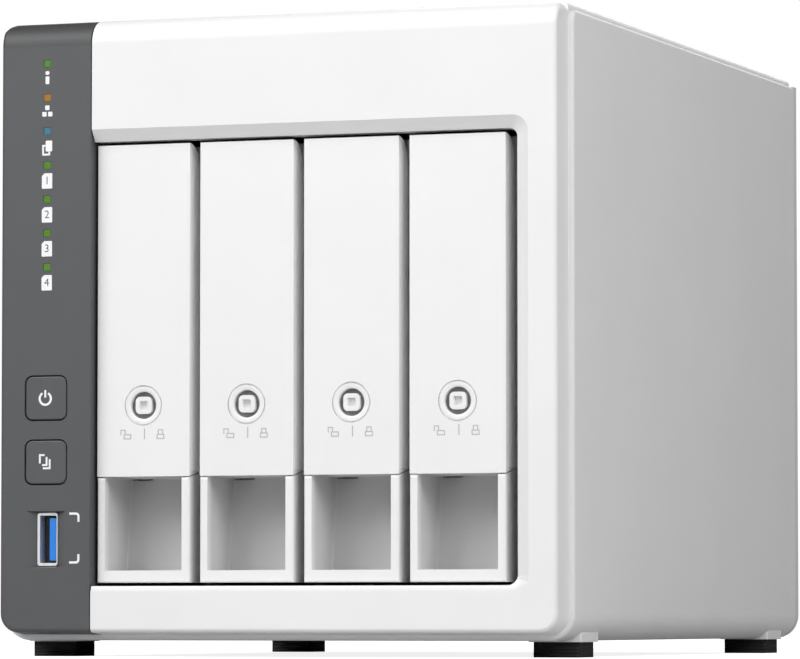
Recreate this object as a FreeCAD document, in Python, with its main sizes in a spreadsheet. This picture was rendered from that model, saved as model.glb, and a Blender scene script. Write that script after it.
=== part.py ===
import FreeCAD, Part
import os
import re

import Sketcher

# Desktop network storage unit with four removable drive trays.
# X runs to the right, Y to the rear and Z up, in millimetres. The origin is on the floor
# under the middle of the unit. Depths are counted back from the front face.

sizes = {
    # whole unit
    "caseWide": 160, "caseDeep": 219, "caseHigh": 169,
    # outer cover: a moulded shell whose sides stand proud of the front mouldings
    "coverLow": 4.3, "coverWall": 2.2, "coverFront": 7.85, "coverRear": 215.3,
    "coverStep": 2.1, "coverStepHigh": 0.8, "coverBevel": 1.5, "coverCorner": 7,
    "lipEnd": 60, "lugSize": 9, "lugDeep": 6,
    # feet and the square bosses over them
    "footHigh": 4, "footWide": 12.6, "footLong": 12.7, "footBevel": 0.4,
    "footSpread": 141.7, "footFront": 26.55, "footRear": 199.45, "bossRim": 1,
    # base plate
    "baseWide": 144, "baseLower": 6.6, "baseUpper": 7.8, "baseGap": 0.2,
    "ventFirst": -42, "ventPitch": 14, "ventWide": 4, "ventFront": 60, "ventRear": 150,
    # front mouldings
    "frontLow": 6.5, "frontDrop": 1.2, "frontTop": 168.7, "frontWall": 2.2,
    "frontCrown": 6.5, "frontEdge": 1.1, "frontCorner": 4.9,
    "frameWide": 155.2, "frameLow": 6.7, "frameTop": 166.6, "frameDeep": 2,
    "panelWide": 25.85, "windowRim": 2, "windowWide": 19.5, "windowLow": 18, "windowTop": 162,
    "hollowGap": 2.5,
    # opening for the trays
    "bayLow": 18.6, "bayTop": 136.2, "bayRight": 66.7, "bayCorner": 2.3,
    "bayFlare": 3.3, "bayFlareLow": 1.6, "bayFlareDeep": 2.5,
    # buttons and lamps of the control panel
    "keysX": -64.7, "keyWide": 12.3, "keyTall": 11.85, "keyCorner": 2.5, "keyGap": 0.4,
    "powerHigh": 68.4, "copyHigh": 51.4, "keyStem": 2.4, "keyCapDeep": 4, "keyStemEnd": 9.9,
    "lampsX": -64.6, "lampWide": 2.0, "lampTall": 1.9, "lampDeep": 11.5, "lampInset": 0.15,
    "lampGreen": 157.4, "lampAmber": 148.3, "lampBlue": 139.4,
    "lampDrive": 130.3, "lampPitch": 9.05,
    # socket on the front
    "usbX": -64.5, "usbHigh": 31, "usbWide": 5.8, "usbTall": 14.1, "usbWall": 0.5,
    "usbFront": 0.9, "usbRear": 14.5, "tongueThick": 2, "tongueTall": 11.2,
    "tongueSet": 0.6, "tongueGap": 0.2,
    "scoopWide": 11.4, "scoopTall": 15, "scoopDeep": 1.4,
    # front circuit board
    "boardThick": 1.6, "ledBoardDeep": 12.5, "ledBoardLow": 20, "ledBoardTop": 162,
    "ledBoardLeft": -75, "ledBoardRight": -56.5, "switchWide": 6, "switchTall": 1.2,
    # trays
    "trayFirst": -37.95, "trayPitch": 29.32, "trayWide": 26.35, "traySet": 3,
    "trayLow": 19.5, "trayTop": 135.25, "seamHigh": 47.1, "seamRise": 1.4, "seamGap": 0.35,
    "blockDeep": 22, "pocketWide": 22, "pocketLow": 22.7, "pocketDeep": 19, "ceiling": 1.2,
    "plateDeep": 12, "plateThick": 2, "railRear": 175, "railWide": 26,
    "slotWide": 16, "slotTall": 9, "slotPitch": 16, "slotLow": 56,
    "latchWide": 5.8, "latchDeep": 6, "latchTall": 9, "pocketRoom": 0.6,
    # tray handle, its pin and its lock
    "handleThick": 7.3, "handleArc": 7.2, "handleWall": 1.4, "cheek": 2, "hollowTop": 131.2,
    "pivotDeep": 3, "pivotHigh": 127.7, "pinRadius": 0.9, "pinPlay": 0.05, "pinLong": 24.4,
    "earRadius": 1.4, "earThick": 1.4, "earGap": 0.2, "earLong": 12, "earArm": 4, "earDrop": 3,
    "lockHigh": 66.2, "dishRadius": 5.3, "dishDeep": 0.7, "lockRadius": 3.22, "lockBore": 3.3,
    "lockTube": 4.8, "lockFace": 1, "lockRear": 8.2, "knobWide": 4.6, "knobSet": 0.2,
    "camLong": 7.5, "camWide": 4.4, "camThick": 1.2, "keyway": 0.9,
    # disk drives
    "driveThick": 26.1, "driveTall": 101.6, "driveLong": 147, "driveLow": 26.6,
    "driveFront": 28, "driveLid": 0.6, "driveLidInset": 3, "plugTall": 44, "plugWide": 7,
    "plugDeep": 5, "plugLow": 4, "studRadius": 1.4, "studLong": 2, "holeFront": 28.5,
    "holeRear": 130, "driveBoardFront": 62, "driveBoardRim": 3, "driveBoardRear": 6,
    "notchFront": 60, "notchRear": 86, "notchTall": 40, "plugRoom": 1,
    # drive cage and the bars that guide the trays
    "cageLeft": -54.2, "cageRight": 68.7, "cageSheet": 1, "cageFloor": 15, "cageRoof": 139.8,
    "cageFront": 12, "cageRear": 178, "guideFoot": 8, "guideRidge": 2.1, "guideGap": 0.3,
    "guideRise": 4, "guideFront": 4, "guideRear": 3, "holeLow": 40, "holeTop": 118,
    "firstHole": 34, "holeLong": 30, "holePitch": 46,
    "plateVentLow": 80, "plateVentTop": 128, "plateVentLeft": 1.5, "plateVentRight": 11,
    "sataLong": 7,
    # electronics
    "bracketLeft": -76, "bracketSheet": 0.8, "bracketFlange": 18, "bracketTop": 152,
    "bracketFront": 32, "mainFront": 40, "mainRear": 212, "mainLow": 14, "mainTop": 150,
    "postLong": 1.6, "postRadius": 2.2, "postFront": 48, "postMiddle": 120, "postRear": 186,
    "postLow": 20, "postTop": 144, "sinkFront": 88, "sinkLow": 62, "sinkWide": 41,
    "sinkSet": 1.8, "sinkBase": 2.5, "finPitch": 4, "finThick": 1.2, "finReach": 10.7,
    "cellDeep": 104, "cellHigh": 130, "cellRadius": 10, "cellThick": 3.4,
    "lanWall": 1.4, "lanBore": 13, "portWall": 0.5, "portBore": 12,
    "rearTongueSet": 0.9, "rearTongueThick": 1.8, "rearTongueTall": 11, "jackBore": 10,
    "jackPinLong": 9.5, "resetOut": 5, "resetSet": 2.4, "resetLong": 2, "resetBlock": 6,
    "resetTall": 8, "resetDeep": 5.6,
    "lanTall": 16, "lanDeep": 21, "lanHigh": 13.5,
    "lanOne": 84, "lanTwo": 103, "portUsbTall": 13.2, "portUsbHigh": 5.8, "portUsbDeep": 17,
    "portUsbOne": 46, "portUsbTwo": 64, "jackTall": 10, "jackHigh": 11, "jackDeep": 14,
    "jackCentre": 27, "jackRadius": 3.1, "jackPin": 1, "portProud": 0.6, "portGap": 0.3,
    "resetHigh": 121, "resetRadius": 1.5, "resetHole": 1.1, "lockSlotHigh": 146,
    "lockSlotWide": 7, "lockSlotTall": 3.2,
    # rear panel and fan
    "rearSheet": 1.2, "rearTop": 167.2, "rearWide": 159.6, "rearRim": 1.5,
    "fanX": 9, "fanHigh": 78, "fanWide": 120, "fanDeep": 25, "fanBore": 58, "fanHub": 20,
    "fanTip": 56.5, "fanPitch": 105, "screwRadius": 1.9, "screwHead": 3.6, "headHigh": 1.4,
    "shaftRadius": 1.5, "shaftPlay": 0.06, "bladeThick": 1.8, "bladeChord": 24,
    "bladePitch": 42, "bladeMiddle": 11.5, "rotorSet": 2, "rotorDeep": 19, "shaftLong": 3.5,
    "fanCorner": 4, "spokeWide": 4, "spokeThick": 3, "motorRim": 1, "crossLong": 3.6,
    "crossWide": 0.8, "crossDeep": 0.7, "fanScrewLong": 9, "coverScrewLong": 6,
    "grilleBar": 3, "grilleSlot": 5, "grilleHub": 17,
    "coverScrewX": 71, "coverScrewTop": 158.5, "coverScrewLow": 12.5,
}

doc = FreeCAD.newDocument("NetworkStorage")
sheet = doc.addObject("Spreadsheet::Sheet", "Sizes")
for row, (alias, value) in enumerate(sizes.items(), start=1):
    sheet.set(f"A{row}", alias)
    sheet.set(f"B{row}", str(value))
    sheet.setAlias(f"B{row}", alias)
doc.recompute()

nodes = {}
trays = 4
base_vents = 7
grille_rings = 5
fan_blades = 7
sink_fins = 11
planes = {"X": "YZ_Plane", "Y": "XZ_Plane", "Z": "XY_Plane"}
turned = {"X": FreeCAD.Rotation(FreeCAD.Vector(0, 1, 0), 90),
          "Y": FreeCAD.Rotation(FreeCAD.Vector(1, 0, 0), -90),
          "Z": FreeCAD.Rotation()}


# ---- small helpers ----

def bound(text):
    # the same arithmetic, with each size read from the sheet
    return re.sub(r"[A-Za-z]+", lambda word: "Sizes." + word[0], str(text))


def number(text):
    # the value of the same arithmetic, which starts a sketch near its final shape
    filled = re.sub(r"[A-Za-z]+", lambda word: f"({sizes[word[0]]})", str(text))
    return FreeCAD.Units.Quantity(filled).Value


def behind(depth):
    # Y of a plane at a depth behind the front face
    return f"(-caseDeep / 2 + {depth})"


def place(item, spot):
    for letter, text in zip("xyz", spot):
        item.setExpression(f"Placement.Base.{letter}", bound(text))


def node(name, item):
    item.Label = name
    nodes[name] = item
    return item


def block(name, low, high):
    item = doc.addObject("Part::Box", name)
    for prop, near, far in zip(("Length", "Width", "Height"), low, high):
        item.setExpression(prop, bound(f"({far}) - ({near})"))
    place(item, low)
    return item


def rod(name, start, radius, length, along="Y"):
    item = doc.addObject("Part::Cylinder", name)
    item.setExpression("Radius", bound(radius))
    item.setExpression("Height", bound(length))
    item.Placement.Rotation = turned[along]
    place(item, start)
    return item


def joined(name, pieces):
    item = doc.addObject("Part::MultiFuse", name)
    item.Shapes = pieces
    item.Refine = True
    return item


def group(name, pieces):
    # separate solids that share one node
    item = doc.addObject("Part::Compound", name)
    item.Links = pieces
    return item


def less(name, base, tools):
    item = doc.addObject("Part::Cut", name)
    item.Base = base
    item.Tool = tools[0] if len(tools) == 1 else group(name + "_tools", tools)
    item.Refine = True
    return item


def outline(body, name, facing, points, start):
    # closed straight-sided sketch on one of the body's own planes
    sketch = body.newObject("Sketcher::SketchObject", name)
    plane = [f for f in body.Origin.OriginFeatures if f.Role == planes[facing]][0]
    sketch.AttachmentSupport = [(plane, "")]
    sketch.MapMode = "FlatFace"
    offset = f"-({start})" if facing == "Y" else start
    sketch.setExpression("AttachmentOffset.Base.z", bound(offset))
    spots = [FreeCAD.Vector(number(u), number(v), 0) for u, v in points]
    for here, there in zip(spots, spots[1:] + spots[:1]):
        sketch.addGeometry(Part.LineSegment(here, there))
    for i, (u, v) in enumerate(points):
        sketch.addConstraint(Sketcher.Constraint("Coincident", i, 2, (i + 1) % len(points), 1))
        for letter, text, value in (("X", u, spots[i].x), ("Y", v, spots[i].y)):
            rule = Sketcher.Constraint("Distance" + letter, -1, 1, i, 1, value)
            index = sketch.addConstraint(rule)
            sketch.renameConstraint(index, f"corner{i}{letter}")
            sketch.setExpression(f"Constraints.corner{i}{letter}", bound(text))
    return sketch


def prism(name, facing, points, start, length):
    # body that starts as one pad, from start along the positive axis
    body = doc.addObject("PartDesign::Body", name)
    pad = body.newObject("PartDesign::Pad", name + "_pad")
    pad.Profile = outline(body, name + "_outline", facing, points, start)
    pad.setExpression("Length", bound(length))
    pad.Reversed = facing == "Y"
    doc.recompute()
    return body


def carve(body, name, facing, points, start, length):
    # pocket from start along the positive axis
    before = body.Shape.Volume
    pocket = body.newObject("PartDesign::Pocket", name)
    pocket.Profile = outline(body, name + "_outline", facing, points, start)
    pocket.setExpression("Length", bound(length))
    pocket.Reversed = facing != "Y"
    doc.recompute()
    if body.Shape.Volume >= before:
        raise ValueError(name + " removes nothing")


def corners(low, high):
    (left, bottom), (right, top) = low, high
    return [(left, bottom), (right, bottom), (right, top), (left, top)]


def chosen(body, test):
    names = []
    for index, edge in enumerate(body.Shape.Edges, start=1):
        box = edge.BoundBox
        middle = edge.valueAt((edge.FirstParameter + edge.LastParameter) / 2)
        if test(middle, box):
            names.append(f"Edge{index}")
    if not names:
        raise ValueError("no edge of " + body.Name + " fits")
    return names


def finish_edges(body, feature):
    body.Tip = feature
    doc.recompute()
    if "Invalid" in feature.State or "Error" in feature.State:
        raise ValueError(f"{feature.Name}: {feature.getStatusString()}")


def soften(body, name, radius, test):
    base = (body.Tip, chosen(body, test))
    fillet = body.newObject("PartDesign::Fillet", name)
    fillet.Base = base
    fillet.setExpression("Radius", bound(radius))
    finish_edges(body, fillet)


def slope(body, name, first, second, test):
    base = (body.Tip, chosen(body, test))
    chamfer = body.newObject("PartDesign::Chamfer", name)
    chamfer.Base = base
    chamfer.ChamferType = "Two distances"
    chamfer.setExpression("Size", bound(first))
    chamfer.setExpression("Size2", bound(second))
    finish_edges(body, chamfer)


def near(value, text, slack=0.01):
    return abs(value - number(text)) < slack


# ---- casing ----

def make_cover():
    # moulded shell: roof, two sides and rounded lower edges that turn in under the unit
    half = "caseWide / 2"
    inner = f"{half} - coverWall"
    right = [("lipEnd", "coverLow"), (half, "coverLow"),
             (half, "caseHigh - coverStepHigh - coverStep * 0.62"),
             (f"{half} - coverStep", "caseHigh - coverStepHigh"),
             (f"{half} - coverStep", "caseHigh")]
    inside = [(inner, "caseHigh - coverWall"), (inner, "coverLow + coverWall"),
              ("lipEnd", "coverLow + coverWall")]

    def mirrored(points):
        return [(f"-({x})", high) for x, high in reversed(points)]

    points = right + mirrored(right) + mirrored(inside) + inside
    body = prism("outer_cover", "Y", points, behind("coverFront"), "coverRear - coverFront")

    def lengthwise(box):
        return box.YLength > number("coverRear - coverFront") - 1

    soften(body, "cover_lower_edges", "coverCorner",
           lambda m, box: lengthwise(box) and near(m.z, "coverLow") and near(abs(m.x), half))
    soften(body, "cover_lower_inside", "coverCorner - coverWall",
           lambda m, box: lengthwise(box) and near(m.z, "coverLow + coverWall")
           and near(abs(m.x), inner))
    slope(body, "cover_front_bevel", "coverBevel", "coverStep - 0.05",
          lambda m, box: near(m.y, behind("coverFront")) and near(abs(m.x), half)
          and box.ZLength > number("caseHigh") / 2)
    boss = "footWide / 2 + bossRim"
    pieces = [body]
    for side in (-1, 1):
        for depth in ("footFront", "footRear"):
            x = f"{side} * footSpread / 2"
            y = behind(depth)
            pieces.append(block(f"boss_{side + 1}_{depth}",
                                (f"{x} - ({boss})", f"{y} - ({boss})", "footHigh"),
                                (f"{x} + ({boss})", f"{y} + ({boss})", "coverLow + coverWall")))
    for name, side, low, high in (("a", -1, "coverScrewTop - lugSize / 2", "caseHigh - 1"),
                                  ("b", 1, "coverScrewTop - lugSize / 2", "caseHigh - 1"),
                                  ("c", 1, "coverScrewLow - lugSize / 2",
                                   "coverScrewLow + lugSize / 2")):
        edge = f"{side} * (caseWide / 2 - 1)"
        inside = f"{side} * (coverScrewX - lugSize / 2)"
        left, right = (inside, edge) if side > 0 else (edge, inside)
        pieces.append(block(f"lug_{name}", (left, behind("coverRear - lugDeep"), low),
                            (right, behind("coverRear"), high)))
    holes = [rod(f"cover_hole_{i}", (x, behind("coverRear - lugDeep + 1"), high),
                 "screwRadius - 0.3", "lugDeep")
             for i, (x, high) in enumerate(cover_screw_spots())]
    node("outer_cover", less("cover_shell", joined("cover_joined", pieces), holes))


def cover_screw_spots():
    return [("-coverScrewX", "coverScrewTop"), ("coverScrewX", "coverScrewTop"),
            ("coverScrewX", "coverScrewLow")]


def make_base():
    lower = block("base_lower", ("-lipEnd + baseGap", behind("coverFront"), "coverLow"),
                  ("lipEnd - baseGap", behind("coverRear"), "baseLower"))
    upper = block("base_upper", ("-baseWide / 2", behind("coverFront + frameDeep + 0.3"),
                                 "baseLower"),
                  ("baseWide / 2", behind("coverRear"), "baseUpper"))
    vents = []
    for i in range(base_vents):
        left = f"ventFirst + {i} * ventPitch"
        vents.append(block(f"base_vent_{i}", (left, behind("ventFront"), "coverLow - 1"),
                           (f"{left} + ventWide", behind("ventRear"), "baseUpper + 1")))
    node("base_plate", less("base_cut", joined("base_joined", [lower, upper]), vents))


def make_feet():
    feet = []
    for side in (-1, 1):
        for depth in ("footFront", "footRear"):
            name = f"foot_{side + 1}_{depth}"
            x = f"{side} * footSpread / 2"
            y = behind(depth)
            foot = prism(name, "Z", corners((f"{x} - footWide / 2", f"{y} - footLong / 2"),
                                            (f"{x} + footWide / 2", f"{y} + footLong / 2")),
                         "0", "footHigh")
            soften(foot, name + "_edges", "footBevel",
                   lambda m, box: near(m.z, "0") or near(m.z, "footHigh / 2"))
            feet.append(foot)
    node("rubber_feet", group("rubber_feet", feet))


def front_moulding(name, left, right, round_side):
    # solid with the front's side section, cut to its width, with its outer edges rounded
    rear = behind("coverFront")
    front = behind("0")
    points = [(front, "frontLow"), (rear, "frontLow - frontDrop"), (rear, "frontTop"),
              (front, "frontTop")]
    body = prism(name, "X", points, left, f"({right}) - ({left})")
    outer = right if round_side == "right" else left
    soften(body, name + "_corner", "frontCorner",
           lambda m, box: near(m.x, outer) and m.z < number("frontLow + 1")
           and box.YLength > 2)
    soften(body, name + "_crown", "frontCrown",
           lambda m, box: near(m.y, front) and near(m.z, "frontTop") and box.XLength > 2)
    soften(body, name + "_edge", "frontEdge",
           lambda m, box: near(m.y, front, 0.05) and box.YLength < 0.3
           and (near(m.x, outer, 3) or m.z < number("frontLow + 3"))
           and not near(m.x, left if outer == right else right))
    return body


def make_bezel():
    left = "-caseWide / 2 + coverStep + panelWide + 0.05"
    right = "caseWide / 2 - coverStep"
    body = front_moulding("bezel_front", left, right, "right")
    rear_frame = prism("bezel_frame", "Y", corners(("-frameWide / 2", "frameLow"),
                                                   ("frameWide / 2", "frameTop")),
                       behind("coverFront"), "frameDeep")
    soften(rear_frame, "bezel_frame_corners", "coverCorner - coverWall",
           lambda m, box: near(m.z, "frameLow") and box.YLength > 1)
    rear_frame = less("bezel_frame_open", rear_frame, [
        block("bezel_board_window",
              ("-frameWide / 2 + windowRim", behind("coverFront - 1"), "windowLow"),
              ("-frameWide / 2 + windowRim + windowWide", behind("coverFront + frameDeep + 1"),
               "windowTop"))])
    bay = prism("bay_cutter", "Y", corners((f"{left} - 1", "bayLow"), ("bayRight", "bayTop")),
                behind("-1"), "coverFront + frameDeep + 2")
    soften(bay, "bay_cutter_corners", "bayCorner",
           lambda m, box: near(m.x, "bayRight") and box.YLength > 5)
    flare = doc.addObject("Part::Wedge", "bay_flare")
    # the flare widens the mouth of the opening towards the front face
    for prop, text in (("Xmin", f"{left} - 1"), ("X2min", f"{left} - 1"),
                       ("Xmax", "bayRight + bayFlare"), ("X2max", "bayRight"),
                       ("Ymin", "0"), ("Ymax", "bayFlareDeep"),
                       ("Zmin", "bayLow - bayFlareLow"), ("Z2min", "bayLow"),
                       ("Zmax", "bayTop + bayFlare"), ("Z2max", "bayTop")):
        flare.setExpression(prop, bound(text))
    place(flare, ("0", behind("0"), "0"))
    # pockets in the back of the moulding leave a wall of even thickness
    hollows = [block("bezel_hollow_top", (f"{left} + frontWall", behind("frontWall + hollowGap"),
                                          "bayTop + frontWall + 3"),
                     (f"{right} - frontWall", behind("coverFront"), "frontTop - frontCrown")),
               block("bezel_hollow_side", ("bayRight + frontWall + 2",
                                           behind("frontWall + hollowGap"), "bayLow"),
                     (f"{right} - frontWall", behind("coverFront"), "bayTop"))]
    whole = less("bezel_opened", joined("bezel_joined", [
        less("bezel_hollowed", body, hollows), rear_frame]), [bay])
    node("front_bezel", less("bezel_flared", whole, [flare]))


def rounded_block(name, centre, wide, tall, corner, start, length):
    # upright rounded rectangle, drawn from its centre and run back from a depth
    x, high = centre
    body = prism(name, "Y", corners((f"{x} - ({wide}) / 2", f"{high} - ({tall}) / 2"),
                                    (f"{x} + ({wide}) / 2", f"{high} + ({tall}) / 2")),
                 behind(start), length)
    span = number(length)
    soften(body, name + "_corners", corner, lambda m, box: near(box.YLength, f"{span}"))
    return body


def lamp_heights():
    return {"green": ["lampGreen"] + [f"lampDrive - {i} * lampPitch" for i in range(trays)],
            "amber": ["lampAmber"], "blue": ["lampBlue"]}


def make_panel():
    left = "-caseWide / 2 + coverStep"
    right = f"{left} + panelWide"
    body = front_moulding("panel_front", left, right, "left")
    carve(body, "panel_hollow", "Y",
          corners((f"{left} + frontWall", "frontLow + frontWall + 2"),
                  (f"{right} - frontWall", "frontTop - frontCrown")),
          behind("frontWall"), "coverFront")
    holes = []
    for name, high in (("power", "powerHigh"), ("copy", "copyHigh")):
        holes.append(rounded_block(f"{name}_hole", ("keysX", high), "keyWide + 2 * keyGap",
                                   "keyTall + 2 * keyGap", "keyCorner + keyGap", "-1", "12"))
    for colour, heights in lamp_heights().items():
        for i, high in enumerate(heights):
            holes.append(block(f"lamp_hole_{colour}_{i}",
                               ("lampsX - lampWide / 2", behind("-1"),
                                f"{high} - lampTall / 2"),
                               ("lampsX + lampWide / 2", behind("frontWall + 1"),
                                f"{high} + lampTall / 2")))
    holes.append(block("usb_hole", ("usbX - usbWide / 2", behind("-1"),
                                    "usbHigh - usbTall / 2"),
                       ("usbX + usbWide / 2", behind("frontWall + 1"),
                        "usbHigh + usbTall / 2")))
    scoop = doc.addObject("Part::Wedge", "usb_scoop")
    for prop, text in (("Xmin", "usbX - scoopWide / 2"), ("X2min", "usbX - usbWide / 2"),
                       ("Xmax", "usbX + scoopWide / 2"), ("X2max", "usbX + usbWide / 2"),
                       ("Ymin", "0"), ("Ymax", "scoopDeep"),
                       ("Zmin", "usbHigh - scoopTall / 2"), ("Z2min", "usbHigh - usbTall / 2"),
                       ("Zmax", "usbHigh + scoopTall / 2"), ("Z2max", "usbHigh + usbTall / 2")):
        scoop.setExpression(prop, bound(text))
    place(scoop, ("0", behind("0"), "0"))
    node("control_panel", less("panel_cut", body, holes + [scoop]))


# ---- control panel's own pieces ----

def make_keys():
    for name, high in (("power_button", "powerHigh"), ("copy_button", "copyHigh")):
        cap = rounded_block(name + "_cap", ("keysX", high), "keyWide", "keyTall", "keyCorner",
                            "lampInset / 3", "keyCapDeep")
        stem = rod(name + "_stem", ("keysX", behind("keyCapDeep"), high), "keyStem",
                   "keyStemEnd - keyCapDeep")
        node(name, joined(name, [cap, stem]))


def make_lamps():
    for colour, heights in lamp_heights().items():
        lamps = [block(f"lamp_{colour}_{i}",
                       ("lampsX - lampWide / 2", behind("lampInset"), f"{high} - lampTall / 2"),
                       ("lampsX + lampWide / 2", behind("lampDeep"), f"{high} + lampTall / 2"))
                 for i, high in enumerate(heights)]
        name = f"{colour}_light_guides" if len(lamps) > 1 else f"{colour}_light_guide"
        node(name, group(name, lamps))


def make_front_socket():
    shell = block("usb_outer", ("usbX - usbWide / 2", behind("usbFront"),
                                "usbHigh - usbTall / 2"),
                  ("usbX + usbWide / 2", behind("usbRear"), "usbHigh + usbTall / 2"))
    inside = block("usb_inner", ("usbX - usbWide / 2 + usbWall", behind("usbFront - 1"),
                                 "usbHigh - usbTall / 2 + usbWall"),
                   ("usbX + usbWide / 2 - usbWall", behind("usbRear - usbWall"),
                    "usbHigh + usbTall / 2 - usbWall"))
    node("front_usb_shell", less("front_usb_shell", shell, [inside]))
    side = "usbX + usbWide / 2 - usbWall"
    node("front_usb_tongue", block("front_usb_tongue", (
        f"{side} - tongueThick - tongueGap", behind("usbFront + tongueSet"),
        "usbHigh - tongueTall / 2"),
        (f"{side} - tongueGap", behind("usbRear - usbWall"), "usbHigh + tongueTall / 2")))


def make_led_board():
    board = block("led_board", ("ledBoardLeft", behind("ledBoardDeep"), "ledBoardLow"),
                  ("ledBoardRight", behind("ledBoardDeep + boardThick"), "ledBoardTop"))
    room = block("led_board_notch", ("usbX - usbWide / 2 - 0.2", behind("ledBoardDeep - 1"),
                                     "usbHigh - usbTall / 2 - 0.2"),
                 ("usbX + usbWide / 2 + 0.2", behind("ledBoardDeep + 5"),
                  "usbHigh + usbTall / 2 + 0.2"))
    board = less("led_board_cut", board, [room])
    parts = [board]
    for name, high in (("power", "powerHigh"), ("copy", "copyHigh")):
        parts.append(block(f"{name}_switch", (
            "keysX - switchWide / 2", behind("ledBoardDeep - switchTall"),
            f"{high} - switchWide / 2"),
            ("keysX + switchWide / 2", behind("ledBoardDeep"), f"{high} + switchWide / 2")))
    node("front_board", joined("front_board", parts))


# ---- drive trays ----

def seat(index, item):
    # carries a tray's piece from the middle plane to its bay
    place(item, (f"trayFirst + {index} * trayPitch", "0", "0"))
    return item


def make_tray_frame(index):
    name = f"tray_{index + 1}_frame"
    front = behind("traySet")
    half = "trayWide / 2"
    rail = "railWide / 2"
    lower = prism(name + "_block", "X", [
        (front, "trayLow"), (f"{front} + blockDeep", "trayLow"),
        (f"{front} + blockDeep", "seamHigh + seamRise"),
        (f"{front} + handleThick", "seamHigh + seamRise"), (front, "seamHigh")],
        f"-{half}", "trayWide")
    carve(lower, name + "_pocket", "X", [
        (f"{front} - 1", "pocketLow"), (f"{front} + pocketDeep", "pocketLow"),
        (f"{front} + pocketDeep", "seamHigh + seamRise - ceiling"),
        (f"{front} + handleThick + pocketRoom", "seamHigh + seamRise - ceiling"),
        (f"{front} + handleThick + pocketRoom", "seamHigh + 5"), (f"{front} - 1", "seamHigh + 5")],
        "-pocketWide / 2", "pocketWide")
    carve(lower, name + "_latch_slot", "Z", corners(
        ("-pocketWide / 2", f"{front} + pocketDeep - latchDeep"),
        ("-pocketWide / 2 + latchWide", f"{front} + pocketDeep")), "seamHigh - 3", "latchTall")
    plate = behind("traySet + plateDeep")
    panel = less(name + "_vented", block(name + "_plate", (f"-{rail}", plate, "seamHigh"),
                                         (rail, f"{plate} + plateThick", "trayTop")), [
        block(f"{name}_vent_{i}", ("-slotWide / 2", f"{plate} - 1", f"slotLow + {i} * slotPitch"),
              ("slotWide / 2", f"{plate} + plateThick + 1",
               f"slotLow + slotTall + {i} * slotPitch"))
        for i in range(4)])
    top = "driveLow + driveTall + guideGap"
    rails = [block(name + "_top_rail", (f"-{rail}", plate, top),
                   (rail, behind("railRear"), "trayTop")),
             block(name + "_low_rail", (f"-{rail}", f"{front} + blockDeep - 1", "trayLow"),
                   (rail, behind("railRear"), "driveLow - guideGap"))]
    studs = []
    for i, depth in enumerate(("driveFront + holeFront", "driveFront + holeRear")):
        studs.append(rod(f"{name}_stud_low_{i}", ("0", behind(depth), "driveLow - guideGap - 1"),
                         "studRadius", "1 + guideGap + studLong", "Z"))
        studs.append(rod(f"{name}_stud_top_{i}", ("0", behind(depth),
                                                  f"{top} - guideGap - studLong"),
                         "studRadius", "1 + guideGap + studLong", "Z"))
    ears = [make_ear(f"{name}_ear_{side}", side) for side in (-1, 1)]
    whole = joined(name + "_joined", [lower, panel] + rails + studs + ears)
    bores = [rod(name + "_pin_bore", ("-pinLong / 2 - 1", behind("traySet + pivotDeep"),
                                      "pivotHigh"), "pinRadius", "pinLong + 2", "X")]
    node(name, seat(index, less(name, whole, bores)))


def make_ear(name, side):
    # arm that drops from the pin and then runs back to the tray's plate, so that the handle's
    # top can swing down behind the pin without meeting it
    outer = "trayWide / 2 - cheek - earGap"
    start = f"{outer} - earThick" if side > 0 else f"-({outer})"
    pivot = behind("traySet + pivotDeep")
    plate = behind("traySet + plateDeep")
    arm = prism(name + "_arm", "X", [
        (f"{pivot} - earRadius + 0.1", "pivotHigh"), (f"{pivot} + earRadius", "pivotHigh"),
        (f"{pivot} + earRadius", "pivotHigh - earLong + earDrop"),
        (f"{plate} + 0.5", "pivotHigh - earLong + 1"),
        (f"{plate} + 0.5", "pivotHigh - earLong - earArm"),
        (f"{pivot} - earRadius + 0.1", "pivotHigh - earLong")], start, "earThick")
    eye = rod(name + "_eye", (start, pivot, "pivotHigh"), "earRadius - 0.1", "earThick", "X")
    return joined(name, [arm, eye])


def make_handle(index):
    name = f"tray_{index + 1}_handle"
    front = behind("traySet")
    half = "trayWide / 2"
    low = "seamHigh + seamGap"
    body = prism(name + "_body", "X", [
        (front, low), (f"{front} + handleThick", f"{low} + seamRise"),
        (f"{front} + handleThick", "trayTop"), (front, "trayTop")], f"-{half}", "trayWide")
    soften(body, name + "_round_top", "handleArc",
           lambda m, box: near(m.y, f"{front} + handleThick") and near(m.z, "trayTop"))
    carve(body, name + "_hollow", "X", [
        (f"{front} + handleWall", f"{low} + handleWall + 0.4"),
        (f"{front} + handleThick + 1", f"{low} + handleWall + 1.9"),
        (f"{front} + handleThick + 1", "hollowTop"), (f"{front} + handleWall", "hollowTop")],
        f"-({half}) + cheek", "trayWide - 2 * cheek")
    tube = rod(name + "_tube", ("0", f"{front} + handleWall / 2", "lockHigh"), "lockTube",
               "handleThick - handleWall")
    tools = [rod(name + "_dish", ("0", f"{front} - 1", "lockHigh"), "dishRadius", "1 + dishDeep"),
             rod(name + "_bore", ("0", f"{front} - 1", "lockHigh"), "lockBore", "20"),
             rod(name + "_pin_bore", ("-pinLong / 2 - 0.1", behind("traySet + pivotDeep"),
                                      "pivotHigh"), "pinRadius + pinPlay", "pinLong + 0.2", "X")]
    node(name, seat(index, less(name, joined(name + "_joined", [body, tube]), tools)))


def make_pin(index):
    name = f"tray_{index + 1}_pin"
    x = f"trayFirst + {index} * trayPitch - pinLong / 2"
    node(name, rod(name, (x, behind("traySet + pivotDeep"), "pivotHigh"), "pinRadius",
                   "pinLong", "X"))


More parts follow.
